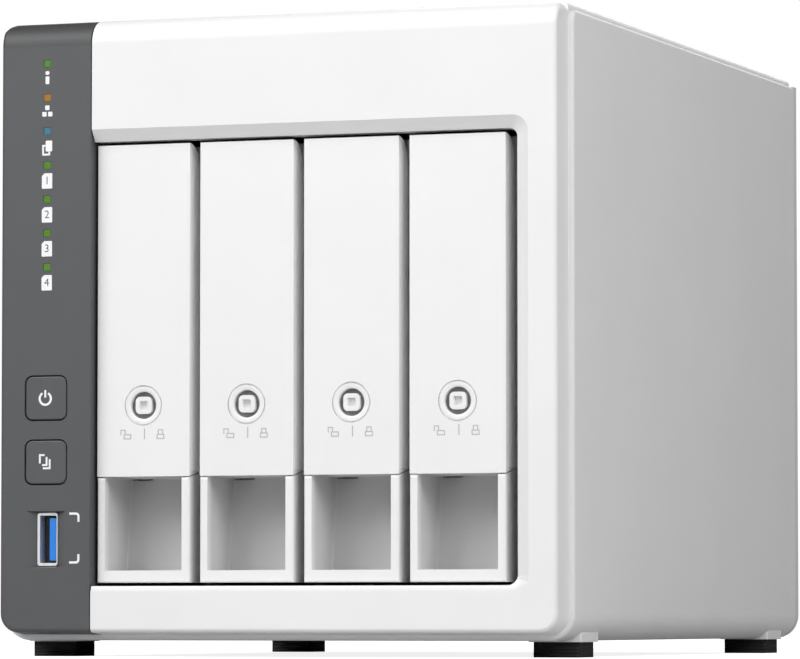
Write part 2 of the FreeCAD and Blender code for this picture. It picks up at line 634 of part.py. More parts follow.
def make_lock(index):
    # barrel with a square socket head in front and a cam behind, turned by a key
    name = f"tray_{index + 1}_lock"
    front = behind("traySet")
    barrel = rod(name + "_barrel", ("0", f"{front} + lockFace", "lockHigh"), "lockRadius",
                 "lockRear - lockFace")
    knob = rounded_block(name + "_knob", ("0", "lockHigh"), "knobWide", "knobWide",
                         "knobWide / 5", "traySet + knobSet", "lockFace")
    cam = block(name + "_cam", ("-camWide / 2", f"{front} + lockRear - 0.2", "lockHigh"),
                ("camWide / 2", f"{front} + lockRear + camThick", "lockHigh + camLong"))
    slot = block(name + "_keyway", ("-knobWide / 4", f"{front} - 1", "lockHigh - knobWide / 4"),
                 ("knobWide / 4", f"{front} + lockFace + keyway", "lockHigh + knobWide / 4"))
    node(name, seat(index, less(name, joined(name + "_joined", [barrel, knob, cam]), [slot])))


def make_drive(index):
    # sealed casting with its lid on one face and its circuit board on the other
    name = f"drive_{index + 1}_case"
    low = ("-driveThick / 2 + boardThick + 0.2", behind("driveFront"), "driveLow")
    high = ("driveThick / 2 - driveLid", behind("driveFront + driveLong"), "driveLow + driveTall")
    casting = block(name + "_casting", low, high)
    lid = block(name + "_lid", ("driveThick / 2 - driveLid", behind("driveFront + driveLidInset"),
                                "driveLow + driveLidInset"),
                ("driveThick / 2", behind("driveFront + driveLong - driveLidInset"),
                 "driveLow + driveTall - driveLidInset"))
    rear = behind("driveFront + driveLong")
    plug = block(name + "_socket", ("-driveThick / 2 - 1", f"{rear} - plugDeep",
                                    "driveLow + plugLow"),
                 ("-driveThick / 2 + boardThick + plugWide", f"{rear} + 1",
                  "driveLow + plugLow + plugTall"))
    holes = [plug]
    for i, depth in enumerate(("driveFront + holeFront", "driveFront + holeRear")):
        for place_name, start in (("low", "driveLow - 1"),
                                  ("top", "driveLow + driveTall - studLong - 0.5")):
            holes.append(rod(f"{name}_{place_name}_{i}", ("0", behind(depth), start),
                             "studRadius + 0.1", "studLong + 1.5", "Z"))
    node(name, seat(index, less(name, joined(name + "_joined", [casting, lid]), holes)))
    board = f"drive_{index + 1}_board"
    sheet_board = block(board + "_sheet", ("-driveThick / 2",
                                           behind("driveFront + driveBoardFront"),
                                           "driveLow + driveBoardRim"),
                        ("-driveThick / 2 + boardThick",
                         behind("driveFront + driveLong - driveBoardRear"),
                         "driveLow + driveTall - driveBoardRim"))
    corner = block(board + "_corner", ("-driveThick / 2 - 1", behind("driveFront + notchFront"),
                                       "driveLow + driveTall - notchTall"),
                   ("0", behind("driveFront + notchRear"), "driveLow + driveTall"))
    node(board, seat(index, less(board, sheet_board, [corner])))


# ---- cage, boards and what they carry ----

def make_cage():
    left, right = "cageLeft", "cageRight"
    front, rear = behind("cageFront"), behind("cageRear")
    outside = block("cage_outside", (f"{left} - cageSheet", front, "baseUpper"),
                    (f"{right} + cageSheet", rear, "cageRoof + cageSheet"))
    bay = block("cage_bay", (left, behind("cageFront - 1"), "cageFloor"),
                (right, behind("cageRear + 1"), "cageRoof"))
    below = block("cage_below", (left, behind("cageFront - 1"), "baseUpper - 1"),
                  (right, behind("cageRear + 1"), "cageFloor - cageSheet"))
    windows = []
    for i in range(3):
        start = f"firstHole + {i} * holePitch"
        windows.append(block(f"cage_window_{i}", (f"{left} - 5", behind(start), "holeLow"),
                             (f"{right} + 5", behind(f"{start} + holeLong"), "holeTop")))
    node("drive_cage", less("drive_cage", outside, [bay, below] + windows))


def make_guides():
    bars = []
    for i in range(trays + 1):
        x = f"trayFirst + ({i} - 0.5) * trayPitch"
        left = "cageLeft" if i == 0 else f"{x} - guideFoot / 2"
        right = "cageRight" if i == trays else f"{x} + guideFoot / 2"
        for side in ("low", "top"):
            name = f"guide_{side}_{i}"
            if side == "low":
                foot, tip = "cageFloor", "trayLow - guideGap"
                ridge = "trayLow - guideGap + guideRise"
                spans = ((foot, tip), (tip, ridge))
            else:
                foot, tip = "cageRoof", "trayTop + guideGap"
                ridge = "trayTop + guideGap - guideRise"
                spans = ((tip, foot), (ridge, tip))
            pieces = [block(name + "_foot", (left, behind("cageFront + guideFront"),
                                             spans[0][0]),
                            (right, behind("cageRear - guideRear"), spans[0][1])),
                      block(name + "_ridge", (f"{x} - guideRidge / 2",
                                              behind("cageFront + guideFront"), spans[1][0]),
                            (f"{x} + guideRidge / 2", behind("cageRear - guideRear"), spans[1][1]))]
            bars.append(joined(name, pieces))
    node("tray_guides", group("tray_guides", bars))


def make_backplane():
    board = block("backplane_board", ("cageLeft", behind("cageRear"), "cageFloor + 1"),
                  ("cageRight", behind("cageRear + boardThick"), "cageRoof - 2"))
    vents = [block(f"backplane_vent_{i}", (f"trayFirst + {i} * trayPitch - plateVentLeft",
                                           behind("cageRear - 1"), "plateVentLow"),
                   (f"trayFirst + {i} * trayPitch + plateVentRight", behind("cageRear + 5"),
                    "plateVentTop"))
             for i in range(trays)]
    node("backplane", less("backplane", board, vents))
    sockets = []
    for i in range(trays):
        x = f"trayFirst + {i} * trayPitch - driveThick / 2 + boardThick"
        sockets.append(block(f"sata_{i}", (f"{x} + plugRoom", behind("cageRear - sataLong"),
                                           "driveLow + plugLow + plugRoom"),
                             (f"{x} + plugWide - plugRoom", behind("cageRear"),
                              "driveLow + plugLow + plugTall - plugRoom")))
    node("drive_sockets", group("drive_sockets", sockets))


def board_face():
    # X of the mainboard's component side
    return "(bracketLeft + bracketSheet + postLong + boardThick)"


def make_mainboard():
    wall = block("bracket_wall", ("bracketLeft", behind("bracketFront"), "baseUpper"),
                 ("bracketLeft + bracketSheet", behind("coverRear - 1"), "bracketTop"))
    foot = block("bracket_foot", ("bracketLeft", behind("bracketFront"), "baseUpper"),
                 ("bracketLeft + bracketFlange", behind("coverRear - 1"),
                  "baseUpper + bracketSheet"))
    node("board_bracket", joined("board_bracket", [wall, foot]))
    post_start = "bracketLeft + bracketSheet"
    spots = [(depth, high) for depth in ("postFront", "postMiddle", "postRear")
             for high in ("postLow", "postTop")]
    posts = [rod(f"post_{i}", (post_start, behind(depth), high), "postRadius", "postLong", "X")
             for i, (depth, high) in enumerate(spots)]
    node("board_posts", group("board_posts", posts))
    board = block("mainboard", (f"{post_start} + postLong", behind("mainFront"), "mainLow"),
                  (board_face(), behind("mainRear"), "mainTop"))
    node("mainboard", board)


def make_board_parts():
    face = board_face()
    chips = [("processor", "96", "70", "25", "25", "1.8"), ("memory_a", "60", "62", "12", "9", "1.1"),
             ("memory_b", "60", "86", "12", "9", "1.1"), ("storage", "64", "114", "14", "11", "1.2"),
             ("lan_chip", "160", "96", "9", "9", "1"), ("usb_chip", "160", "60", "8", "8", "1"),
             ("coil_a", "60", "28", "8", "8", "4.5"), ("coil_b", "76", "28", "8", "8", "4.5")]
    node("board_chips", group("board_chips", [
        block(name, (face, behind(depth), high),
              (f"{face} + {tall}", behind(f"{depth} + {wide}"), f"{high} + {deep}"))
        for name, depth, high, wide, deep, tall in chips]))
    rear = behind("sinkFront + sinkWide")
    base = block("sink_base", (f"{face} + sinkSet", behind("sinkFront"), "sinkLow"),
                 (f"{face} + sinkSet + sinkBase", rear, "sinkLow + sinkWide"))
    fins = [block(f"sink_fin_{i}", (f"{face} + sinkSet + sinkBase - 0.1", behind("sinkFront"),
                                    f"sinkLow + {i} * finPitch"),
                  (f"{face} + sinkSet + finReach", rear,
                   f"sinkLow + finThick + {i} * finPitch")) for i in range(sink_fins)]
    node("heat_sink", joined("heat_sink", [base] + fins))
    node("coin_cell", rod("coin_cell", (face, behind("cellDeep"), "cellHigh"), "cellRadius",
                          "cellThick", "X"))


def open_box(name, low, high, wall, bore):
    # metal socket with its mouth to the rear
    shell = block(name + "_outside", low, high)
    inside = block(name + "_inside",
                   tuple(f"{text} + {wall}" for text in low),
                   (f"{high[0]} - {wall}", f"{high[1]} + 1", f"{high[2]} - {wall}"))
    inside.setExpression("Width", bound(f"{bore} + 1"))
    place(inside, (f"{low[0]} + {wall}", f"{high[1]} - {bore}", f"{low[2]} + {wall}"))
    return less(name, shell, [inside])


def rear_ports():
    # name, height of the centre, height, reach out from the board, length
    return [("lan_a", "lanOne", "lanTall", "lanHigh", "lanDeep"),
            ("lan_b", "lanTwo", "lanTall", "lanHigh", "lanDeep"),
            ("port_usb_a", "portUsbOne", "portUsbTall", "portUsbHigh", "portUsbDeep"),
            ("port_usb_b", "portUsbTwo", "portUsbTall", "portUsbHigh", "portUsbDeep")]


def make_rear_ports():
    face = board_face()
    end = behind("coverRear + rearSheet + portProud")
    made = {}
    for name, high, tall, reach, deep in rear_ports():
        low = (face, f"{end} - {deep}", f"{high} - {tall} / 2")
        far = (f"{face} + {reach}", end, f"{high} + {tall} / 2")
        if name.startswith("lan"):
            made[name] = open_box(name, low, far, "lanWall", "lanBore")
        else:
            made[name] = open_box(name, low, far, "portWall", "portBore")
    node("lan_sockets", group("lan_sockets", [made["lan_a"], made["lan_b"]]))
    node("rear_usb_shells", group("rear_usb_shells", [made["port_usb_a"], made["port_usb_b"]]))
    tongues = [block(f"rear_tongue_{high}", (f"{face} + rearTongueSet", f"{end} - portBore",
                                             f"{high} - rearTongueTall / 2"),
                     (f"{face} + rearTongueSet + rearTongueThick", f"{end} - 1",
                      f"{high} + rearTongueTall / 2"))
               for high in ("portUsbOne", "portUsbTwo")]
    node("rear_usb_tongues", group("rear_usb_tongues", tongues))
    low = (face, f"{end} - jackDeep", "jackCentre - jackTall / 2")
    far = (f"{face} + jackHigh", end, "jackCentre + jackTall / 2")
    middle = f"{face} + jackHigh / 2"
    shell = less("power_jack_bored", block("power_jack_block", low, far), [
        rod("power_jack_bore", (middle, f"{end} - jackBore", "jackCentre"), "jackRadius",
            "jackBore + 2")])
    pin = rod("power_jack_pin", (middle, f"{end} - jackBore - 1", "jackCentre"), "jackPin",
              "jackPinLong")
    node("power_jack", joined("power_jack", [shell, pin]))
    node("reset_button", rod("reset_button", (f"{face} + resetOut",
                                              behind("coverRear - resetSet"), "resetHigh"),
                             "resetRadius", "resetLong"))
    rear = "coverRear - resetSet - 1"
    node("reset_switch", block("reset_switch", (face, behind(f"{rear} - resetDeep"),
                                                "resetHigh - resetBlock / 2"),
                               (f"{face} + resetTall", behind(rear),
                                "resetHigh + resetBlock / 2")))


# ---- rear panel and fan ----

def fan_screw_spots():
    return [(f"fanX + {i} * fanPitch / 2", f"fanHigh + {k} * fanPitch / 2")
            for i in (-1, 1) for k in (-1, 1)]


def make_rear_panel():
    # shallow pan: the sheet lies inside a rim that ends flush with the back of the unit
    half = "rearWide / 2"
    rim = prism("rear_rim", "Y", corners((f"-{half}", "coverLow"), (half, "rearTop")),
                behind("coverRear"), "caseDeep - coverRear")
    soften(rim, "rear_rim_corners", "coverCorner - 0.2",
           lambda m, box: near(m.z, "coverLow") and box.YLength > 2)
    inside = prism("rear_inside", "Y",
                   corners((f"-{half} + rearRim", "coverLow + rearRim"),
                           (f"{half} - rearRim", "rearTop - rearRim")),
                   behind("coverRear + rearSheet"), "10")
    soften(inside, "rear_inside_corners", "coverCorner - 0.2 - rearRim",
           lambda m, box: near(m.z, "coverLow + rearRim") and box.YLength > 5)
    face = board_face()
    cuts = [inside, rod("grille_opening", ("fanX", behind("coverRear - 2"), "fanHigh"),
                "fanBore - 2", "8")]
    bars = [block("grille_bar_a", ("fanX - fanBore", behind("coverRear"),
                                   "fanHigh - grilleBar / 2"),
                  ("fanX + fanBore", behind("coverRear + rearSheet"),
                   "fanHigh + grilleBar / 2")),
            block("grille_bar_b", ("fanX - grilleBar / 2", behind("coverRear"),
                                   "fanHigh - fanBore"),
                  ("fanX + grilleBar / 2", behind("coverRear + rearSheet"),
                   "fanHigh + fanBore"))]
    for i in range(grille_rings):
        outer = f"grilleHub + {i} * (grilleBar + grilleSlot)"
        ring = rod(f"grille_ring_{i}", ("fanX", behind("coverRear"), "fanHigh"), outer,
                   "rearSheet")
        if i:
            ring = less(f"grille_ring_cut_{i}", ring, [
                rod(f"grille_ring_in_{i}", ("fanX", behind("coverRear"), "fanHigh"),
                    f"{outer} - grilleBar", "5")])
        bars.append(ring)
    for name, high, tall, reach, deep in rear_ports():
        cuts.append(block("hole_" + name, (
            f"{face} - portGap", behind("coverRear - 2"), f"{high} - {tall} / 2 - portGap"),
            (f"{face} + {reach} + portGap", behind("coverRear + 4"),
             f"{high} + {tall} / 2 + portGap")))
    cuts.append(block("hole_jack", (f"{face} - portGap", behind("coverRear - 2"),
                                    "jackCentre - jackTall / 2 - portGap"),
                      (f"{face} + jackHigh + portGap", behind("coverRear + 4"),
                       "jackCentre + jackTall / 2 + portGap")))
    cuts.append(rod("hole_reset", (f"{face} + resetOut", behind("coverRear - 2"), "resetHigh"),
                    "resetHole", "8"))
    cuts.append(block("hole_lock", (f"{face} + 1", behind("coverRear - 2"),
                                    "lockSlotHigh - lockSlotTall / 2"),
                      (f"{face} + 1 + lockSlotWide", behind("coverRear + 4"),
                       "lockSlotHigh + lockSlotTall / 2")))
    cuts += [rod(f"hole_fan_{i}", (x, behind("coverRear - 2"), high), "screwRadius + 0.2", "8")
             for i, (x, high) in enumerate(fan_screw_spots())]
    cuts += [rod(f"hole_cover_{i}", (x, behind("coverRear - 2"), high), "screwRadius + 0.2", "8")
             for i, (x, high) in enumerate(cover_screw_spots())]
    node("rear_panel", joined("rear_panel", [less("rear_panel_cut", rim, cuts)] + bars))


def make_fan():
    front = behind("coverRear - fanDeep")
    frame = rounded_block("fan_square", ("fanX", "fanHigh"), "fanWide", "fanWide", "fanCorner",
                          "coverRear - fanDeep", "fanDeep")
    bore = rod("fan_bore", ("fanX", f"{front} - 1", "fanHigh"), "fanBore", "fanDeep + 2")
    holes = [rod(f"fan_corner_{i}", (x, f"{front} - 1", high), "screwRadius", "fanDeep + 2")
             for i, (x, high) in enumerate(fan_screw_spots())]
    rear = f"{front} + fanDeep"
    spoke = f"{rear} - spokeThick"
    spokes = [block("fan_spoke_a", ("fanX - fanBore - 0.5", spoke, "fanHigh - spokeWide / 2"),
                    ("fanX + fanBore + 0.5", rear, "fanHigh + spokeWide / 2")),
              block("fan_spoke_b", ("fanX - spokeWide / 2", spoke, "fanHigh - fanBore - 0.5"),
                    ("fanX + spokeWide / 2", rear, "fanHigh + fanBore + 0.5"))]
    hub = rod("fan_motor", ("fanX", spoke, "fanHigh"), "fanHub + motorRim", "spokeThick")
    whole = joined("fan_joined", [less("fan_opened", frame, [bore])] + spokes + [hub])
    node("fan_frame", less("fan_frame", whole, holes + [
        rod("fan_shaft_bore", ("fanX", f"{spoke} - 1", "fanHigh"), "shaftRadius + shaftPlay",
            "spokeThick")]))
    make_rotor(front)


def shift(x, y, z):
    return FreeCAD.Placement(FreeCAD.Vector(x, y, z), FreeCAD.Rotation())


def turn(axis, angle):
    return FreeCAD.Placement(FreeCAD.Vector(), FreeCAD.Rotation(axis, angle))


def make_rotor(front):
    hub = rod("rotor_hub", ("fanX", f"{front} + rotorSet", "fanHigh"), "fanHub", "rotorDeep")
    blades = []
    for i in range(fan_blades):
        blade = doc.addObject("Part::Box", f"rotor_blade_{i}")
        blade.setExpression("Length", bound("fanTip + 4 - fanHub"))
        blade.setExpression("Width", bound("bladeChord"))
        blade.setExpression("Height", bound("bladeThick"))
        # centred on its radius, pitched about it, then turned to its place round the hub
        centred = shift(number("fanHub") - 1.5, -number("bladeChord") / 2,
                        -number("bladeThick") / 2)
        pitched = turn(FreeCAD.Vector(1, 0, 0), number("bladePitch"))
        spun = turn(FreeCAD.Vector(0, 1, 0), i * 360 / fan_blades)
        middle = shift(number("fanX"), number(f"{front} + bladeMiddle"), number("fanHigh"))
        blade.Placement = middle * spun * pitched * centred
        blades.append(blade)
    sweep = rod("rotor_sweep", ("fanX", f"{front} + rotorSet", "fanHigh"), "fanTip", "rotorDeep")
    trimmed = doc.addObject("Part::Common", "rotor_trimmed")
    trimmed.Base = joined("rotor_blades", blades + [hub])
    trimmed.Tool = sweep
    shaft = rod("rotor_shaft", ("fanX", f"{front} + rotorSet + rotorDeep - 1", "fanHigh"),
                "shaftRadius", "shaftLong")
    node("fan_rotor", joined("fan_rotor", [trimmed, shaft]))


def screw(name, x, high, start, length, radius):
    head = rod(name + "_head", (x, behind(start), high), "screwHead", "headHigh")
    shank = rod(name + "_shank", (x, f"{behind(start)} - {length}", high), radius,
                f"{length} + 0.2")
    bottom, top = f"{behind(start)} + headHigh - crossDeep", f"{behind(start)} + headHigh + 1"
    cross = [block(f"{name}_cross_{wide}", (f"{x} - {wide} / 2", bottom, f"{high} - {tall} / 2"),
                   (f"{x} + {wide} / 2", top, f"{high} + {tall} / 2"))
             for wide, tall in (("crossWide", "crossLong"), ("crossLong", "crossWide"))]
    return less(name, joined(name + "_joined", [head, shank]), cross)


def make_screws():
    outside = "coverRear + rearSheet"
    node("fan_screws", group("fan_screws", [
        screw(f"fan_screw_{i}", x, high, outside, "fanScrewLong", "screwRadius")
        for i, (x, high) in enumerate(fan_screw_spots())]))
    node("cover_screws", group("cover_screws", [
        screw(f"cover_screw_{i}", x, high, outside, "coverScrewLong", "screwRadius - 0.3")
        for i, (x, high) in enumerate(cover_screw_spots())]))


# ---- the unit ----

def make_unit():
    make_cover()
    make_base()
    make_feet()
    make_bezel()
    make_panel()
    make_keys()
    make_lamps()
    make_front_socket()
    make_led_board()
    for index in range(trays):
        make_tray_frame(index)
        make_handle(index)
        make_pin(index)
        make_lock(index)
        make_drive(index)
    make_cage()
    make_guides()
    make_backplane()
    make_mainboard()
    make_board_parts()
    make_rear_ports()
    make_rear_panel()
    make_fan()
    make_screws()


def check_document():
    doc.recompute()
    for item in doc.Objects:
        if {"Invalid", "Error"} & set(item.State):
            raise ValueError(f"{item.Label} is {item.State}")
    for name, item in nodes.items():
        if item.Shape.isNull() or not item.Shape.isValid() or not item.Shape.Solids:
            raise ValueError(f"{name} has no valid shape")


def write_parts():
    os.makedirs("parts", exist_ok=True)
    for name, item in nodes.items():
        item.Shape.exportStep(f"parts/{name}.step")
        print(f"{name}: {len(item.Shape.Solids)} solids, {item.Shape.Volume / 1000:.2f} cm3")


make_unit()
check_document()
write_parts()
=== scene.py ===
import math

import bmesh
import bpy
from mathutils import Matrix, Vector


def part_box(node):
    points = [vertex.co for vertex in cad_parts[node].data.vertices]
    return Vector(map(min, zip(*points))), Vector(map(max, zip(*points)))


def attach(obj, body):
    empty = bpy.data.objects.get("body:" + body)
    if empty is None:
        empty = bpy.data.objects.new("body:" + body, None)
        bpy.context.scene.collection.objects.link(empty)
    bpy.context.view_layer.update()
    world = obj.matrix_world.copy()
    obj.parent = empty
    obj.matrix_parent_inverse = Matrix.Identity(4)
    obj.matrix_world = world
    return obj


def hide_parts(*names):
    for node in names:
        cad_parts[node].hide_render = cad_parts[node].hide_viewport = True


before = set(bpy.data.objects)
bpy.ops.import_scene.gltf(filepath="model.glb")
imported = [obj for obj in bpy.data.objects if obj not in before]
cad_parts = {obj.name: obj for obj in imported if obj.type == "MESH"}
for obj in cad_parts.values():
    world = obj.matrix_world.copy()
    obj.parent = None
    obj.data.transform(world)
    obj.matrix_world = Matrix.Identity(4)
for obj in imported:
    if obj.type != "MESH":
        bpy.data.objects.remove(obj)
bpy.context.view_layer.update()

# Desktop storage unit with four removable drive trays.
# Meshes are modelled in millimetres, front towards -Y, and turned to metres when a piece is finished.

metre = 0.001
scene = bpy.context.scene
scene.view_settings.view_transform = "Standard"


# ---- shaping helpers ----

planes = {
    "front": lambda u, v, w: Vector((u, w, v)),  # drawn in X and Z, runs along Y
    "side": lambda u, v, w: Vector((w, u, v)),   # drawn in Y and Z, runs along X
    "floor": lambda u, v, w: Vector((u, v, w)),  # drawn in X and Y, runs along Z
}


def boxOf(*nodeNames):
    corners = [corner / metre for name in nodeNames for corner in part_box(name)]
    return [Vector([pick(c[axis] for c in corners) for axis in range(3)]) for pick in (min, max)]


def prism(corners, plane, start, end, segments=8):
    # straight solid; a corner with a third number is rounded to that radius
    bm = bmesh.new()
    spot = planes[plane]
    verts = [bm.verts.new(spot(c[0], c[1], start)) for c in corners]
    bm.faces.new(verts)
    for vert, corner in zip(verts, corners):
        if len(corner) > 2:
            bmesh.ops.bevel(bm, geom=[vert], offset=corner[2], segments=segments, profile=0.5,
                            affect="VERTICES", clamp_overlap=True, material=-1)
    extruded = bmesh.ops.extrude_face_region(bm, geom=bm.faces[:])["geom"]
    moved = [g for g in extruded if isinstance(g, bmesh.types.BMVert)]
    bmesh.ops.translate(bm, verts=moved, vec=spot(0, 0, end) - spot(0, 0, start))
    bmesh.ops.recalc_face_normals(bm, faces=bm.faces)
    return bm


def rectangle(left, low, right, high, radius=0):
    corners = [(left, low), (right, low), (right, high), (left, high)]
    return [(u, v, radius) for u, v in corners] if radius else corners


def around(u, v, wide, tall, radius=0):
    return rectangle(u - wide / 2, v - tall / 2, u + wide / 2, v + tall / 2, radius)


def disc(centre, radius, start, end, segments=64, along="Y"):
    # round solid from start to end along one axis
    bm = bmesh.new()
    turn = {"X": Matrix.Rotation(math.pi / 2, 4, "Y"), "Y": Matrix.Rotation(math.pi / 2, 4, "X"),
            "Z": Matrix.Identity(4)}[along]
    bmesh.ops.create_cone(bm, cap_ends=True, segments=segments, radius1=radius, radius2=radius,
                          depth=abs(end - start), matrix=turn)
    middle = (start + end) / 2
    spot = {"X": (middle, *centre), "Y": (centre[0], middle, centre[1]), "Z": (*centre, middle)}
    bmesh.ops.translate(bm, verts=bm.verts, vec=spot[along])
    return bm


def joinParts(*parts):
    # several separate solids in one mesh
    whole = parts[0]
    for part in parts[1:]:
        mesh = meshFrom(part)
        whole.from_mesh(mesh)
        bpy.data.meshes.remove(mesh)
    return whole


def meshFrom(bm, name="part"):
    mesh = bpy.data.meshes.new(name)
    bm.to_mesh(mesh)
    bm.free()
    return mesh


def linked(mesh, name="part"):
    obj = bpy.data.objects.new(name, mesh)
    scene.collection.objects.link(obj)
    return obj


def combine(bm, other, operation):
    base, tool = [linked(meshFrom(part)) for part in (bm, other)]
    modifier = base.modifiers.new("combine", "BOOLEAN")
    modifier.operation = operation
    modifier.solver = "EXACT"
    modifier.object = tool
    result = bmesh.new()
    result.from_object(base, bpy.context.evaluated_depsgraph_get())
    for obj in (base, tool):
        mesh = obj.data
        bpy.data.objects.remove(obj)
        bpy.data.meshes.remove(mesh)
    bmesh.ops.remove_doubles(result, verts=result.verts, dist=0.001)
    bmesh.ops.dissolve_limit(result, angle_limit=math.radians(0.5), verts=result.verts,
                             edges=result.edges)
    return result


def cutAway(bm, *tools):
    return combine(bm, joinParts(*tools), "DIFFERENCE")


def fuse(bm, *others):
    for other in others:
        bm = combine(bm, other, "UNION")
    return bm


def middleOf(edge):
    return (edge.verts[0].co + edge.verts[1].co) / 2


def runsAlong(edge, axis):
    line = (edge.verts[1].co - edge.verts[0].co).normalized()
    return abs(line["XYZ".index(axis)]) > 0.99


def roundEdges(bm, radius, test, segments=4, sharper=25, clamped=True):
    edges = [e for e in bm.edges
             if e.calc_face_angle(0) > math.radians(sharper) and test(e, middleOf(e))]
    bmesh.ops.bevel(bm, geom=edges, offset=radius, segments=segments, profile=0.5,
                    affect="EDGES", clamp_overlap=clamped, material=-1)
    return bm


def shifted(bm, dx=0, dy=0, dz=0):
    copy = bm.copy()
    bmesh.ops.translate(copy, verts=copy.verts, vec=(dx, dy, dz))
    return copy


def finishPiece(bm, name, body, material, replaced=(), edge=0.2, segments=2, sharper=28):
    # the mesh goes to metres, gets its softened edges, and rides on its body
    bmesh.ops.scale(bm, verts=bm.verts, vec=(metre, metre, metre))
    for face in bm.faces:
        face.smooth = True
    obj = linked(meshFrom(bm, name), name)
    obj.data.materials.append(material)
    if edge:
        bevel = obj.modifiers.new("soft edges", "BEVEL")
        bevel.width = edge * metre
        bevel.segments = segments
        bevel.limit_method = "ANGLE"
        bevel.angle_limit = math.radians(sharper)
    else:
        obj.data.set_sharp_from_angle(angle=math.radians(sharper))
    weigh = obj.modifiers.new("flat faces", "WEIGHTED_NORMAL")
    weigh.keep_sharp = True
    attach(obj, body)
    if replaced:
        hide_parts(*replaced)
    return obj


# ---- materials ----

def linear(hexColour, alpha=1.0):
    values = [int(hexColour[i:i + 2], 16) / 255 for i in (1, 3, 5)]
    values = [v / 12.92 if v <= 0.04045 else ((v + 0.055) / 1.055) ** 2.4 for v in values]
    return (*values, alpha)


def addNode(tree, kind, settings=None, links=None):
    node = tree.nodes.new(kind)
    for key, value in (settings or {}).items():
        if key in node.inputs:
            node.inputs[key].default_value = value
        else:
            setattr(node, key, value)
    for key, source in (links or {}).items():
        tree.links.new(source, node.inputs[key])
    return node


def newMaterial(name):
    material = bpy.data.materials.new(name)
    material.use_nodes = True
    tree = material.node_tree
    tree.nodes.clear()
    shader = addNode(tree, "ShaderNodeBsdfPrincipled")
    addNode(tree, "ShaderNodeOutputMaterial", links={"Surface": shader.outputs["BSDF"]})
    place = addNode(tree, "ShaderNodeTexCoord").outputs["Object"]
    return material, tree, shader, place


def perMm(size):
    # a pattern's scale on Object coordinates for a grain of this many millimetres
    return 1 / (size * metre)


def toneBetween(tree, pattern, look):
    tone = addNode(tree, "ShaderNodeMix", {"data_type": "RGBA"}, {"Factor": pattern.outputs["Fac"]})
    tone.inputs["A"].default_value = linear(look["dark"])
    tone.inputs["B"].default_value = linear(look["light"])
    return tone


def shadeOver(tree, tone, mask, colour):
    shade = addNode(tree, "ShaderNodeMix", {"data_type": "RGBA"}, {"Factor": mask})
    shade.inputs["B"].default_value = linear(colour)
    tree.links.new(tone.outputs["Result"], shade.inputs["A"])
    return shade


def grained(tree, shader, grain, look, share):
    # gloss and relief follow one grain; the relief is as deep as this share of the grain's size
    gloss = addNode(tree, "ShaderNodeMapRange", {"To Min": look["roughness"] - look["uneven"],
                                                 "To Max": look["roughness"] + look["uneven"]},
                    {"Value": grain.outputs["Fac"]})
    tree.links.new(gloss.outputs["Result"], shader.inputs["Roughness"])
    return addNode(tree, "ShaderNodeBump", {"Strength": look["bump"],
                                            "Distance": look["grain"] * metre * share},
                   {"Height": grain.outputs["Fac"]})


def mouldedPlastic(name, look):
    # ABS from a spark-textured tool: an even satin with a fine grain and faint flow mottling
    material, tree, shader, place = newMaterial(name)
    shader.inputs["IOR"].default_value = 1.53
    grain = addNode(tree, "ShaderNodeTexNoise", {"Scale": perMm(look["grain"]), "Detail": 3,
                                                 "Roughness": 0.6}, {"Vector": place})
    mottle = addNode(tree, "ShaderNodeTexNoise", {"Scale": perMm(look["mottle"]), "Detail": 2},
                     {"Vector": place})
    tone = toneBetween(tree, mottle, look)
    bump = grained(tree, shader, grain, look, 0.5)
    if "ribs" in look:
        bump = ribbed(tree, place, bump, look)
    # painted shade on the curved top of the moulding, where the look gives one
    if "crownPaintedShade" in look:
        tone = paintCrownShade(tree, place, tone, look)
    # painted shade inside the finger recess, where the look gives one
    if "recessPaintedShade" in look:
        tone = paintRecessShade(tree, place, tone, look)
    tree.links.new(tone.outputs["Result"], shader.inputs["Base Color"])
    tree.links.new(bump.outputs["Normal"], shader.inputs["Normal"])
    return material


def ribbed(tree, place, bump, look):
    # level ribs round the sides; a band wave repeats every pi / 10 units at scale 1
    bands = addNode(tree, "ShaderNodeTexWave", {"bands_direction": "Z",
                                                "Scale": math.pi / 10 * perMm(look["ribs"])},
                    {"Vector": place})
    return addNode(tree, "ShaderNodeBump", {"Strength": 0.7, "Distance": look["ribs"] * metre / 3},
                   {"Height": bands.outputs["Fac"], "Normal": bump.outputs["Normal"]})


def paintCrownShade(tree, place, tone, look):
    # painted shade: the curved top of the moulding is coloured a deeper grey than its face, standing in
    # for the shade it takes under the lights
    height = addNode(tree, "ShaderNodeSeparateXYZ", links={"Vector": place}).outputs["Z"]
    mask = addNode(tree, "ShaderNodeMapRange", {"From Min": look["crownLow"] * metre,
                                                "From Max": look["crownHigh"] * metre},
                   {"Value": height})
    return shadeOver(tree, tone, mask.outputs["Result"], look["crownPaintedShade"])


def paintRecessShade(tree, place, tone, look):
    # painted shade: inside of the finger recess is coloured greyer than the face, standing in for the
    # shade that falls in the recess
    spot = addNode(tree, "ShaderNodeSeparateXYZ", links={"Vector": place})
    deep = addNode(tree, "ShaderNodeMapRange", {"From Min": look["recessFront"] * metre,
                                                "From Max": (look["recessFront"] + 3) * metre},
                   {"Value": spot.outputs["Y"]})
    below = addNode(tree, "ShaderNodeMath", {"operation": "LESS_THAN"})
    below.inputs[1].default_value = look["recessTop"] * metre
    tree.links.new(spot.outputs["Z"], below.inputs[0])
    mask = addNode(tree, "ShaderNodeMath", {"operation": "MULTIPLY"})
    tree.links.new(deep.outputs["Result"], mask.inputs[0])
    tree.links.new(below.outputs["Value"], mask.inputs[1])
    return shadeOver(tree, tone, mask.outputs["Value"], look["recessPaintedShade"])


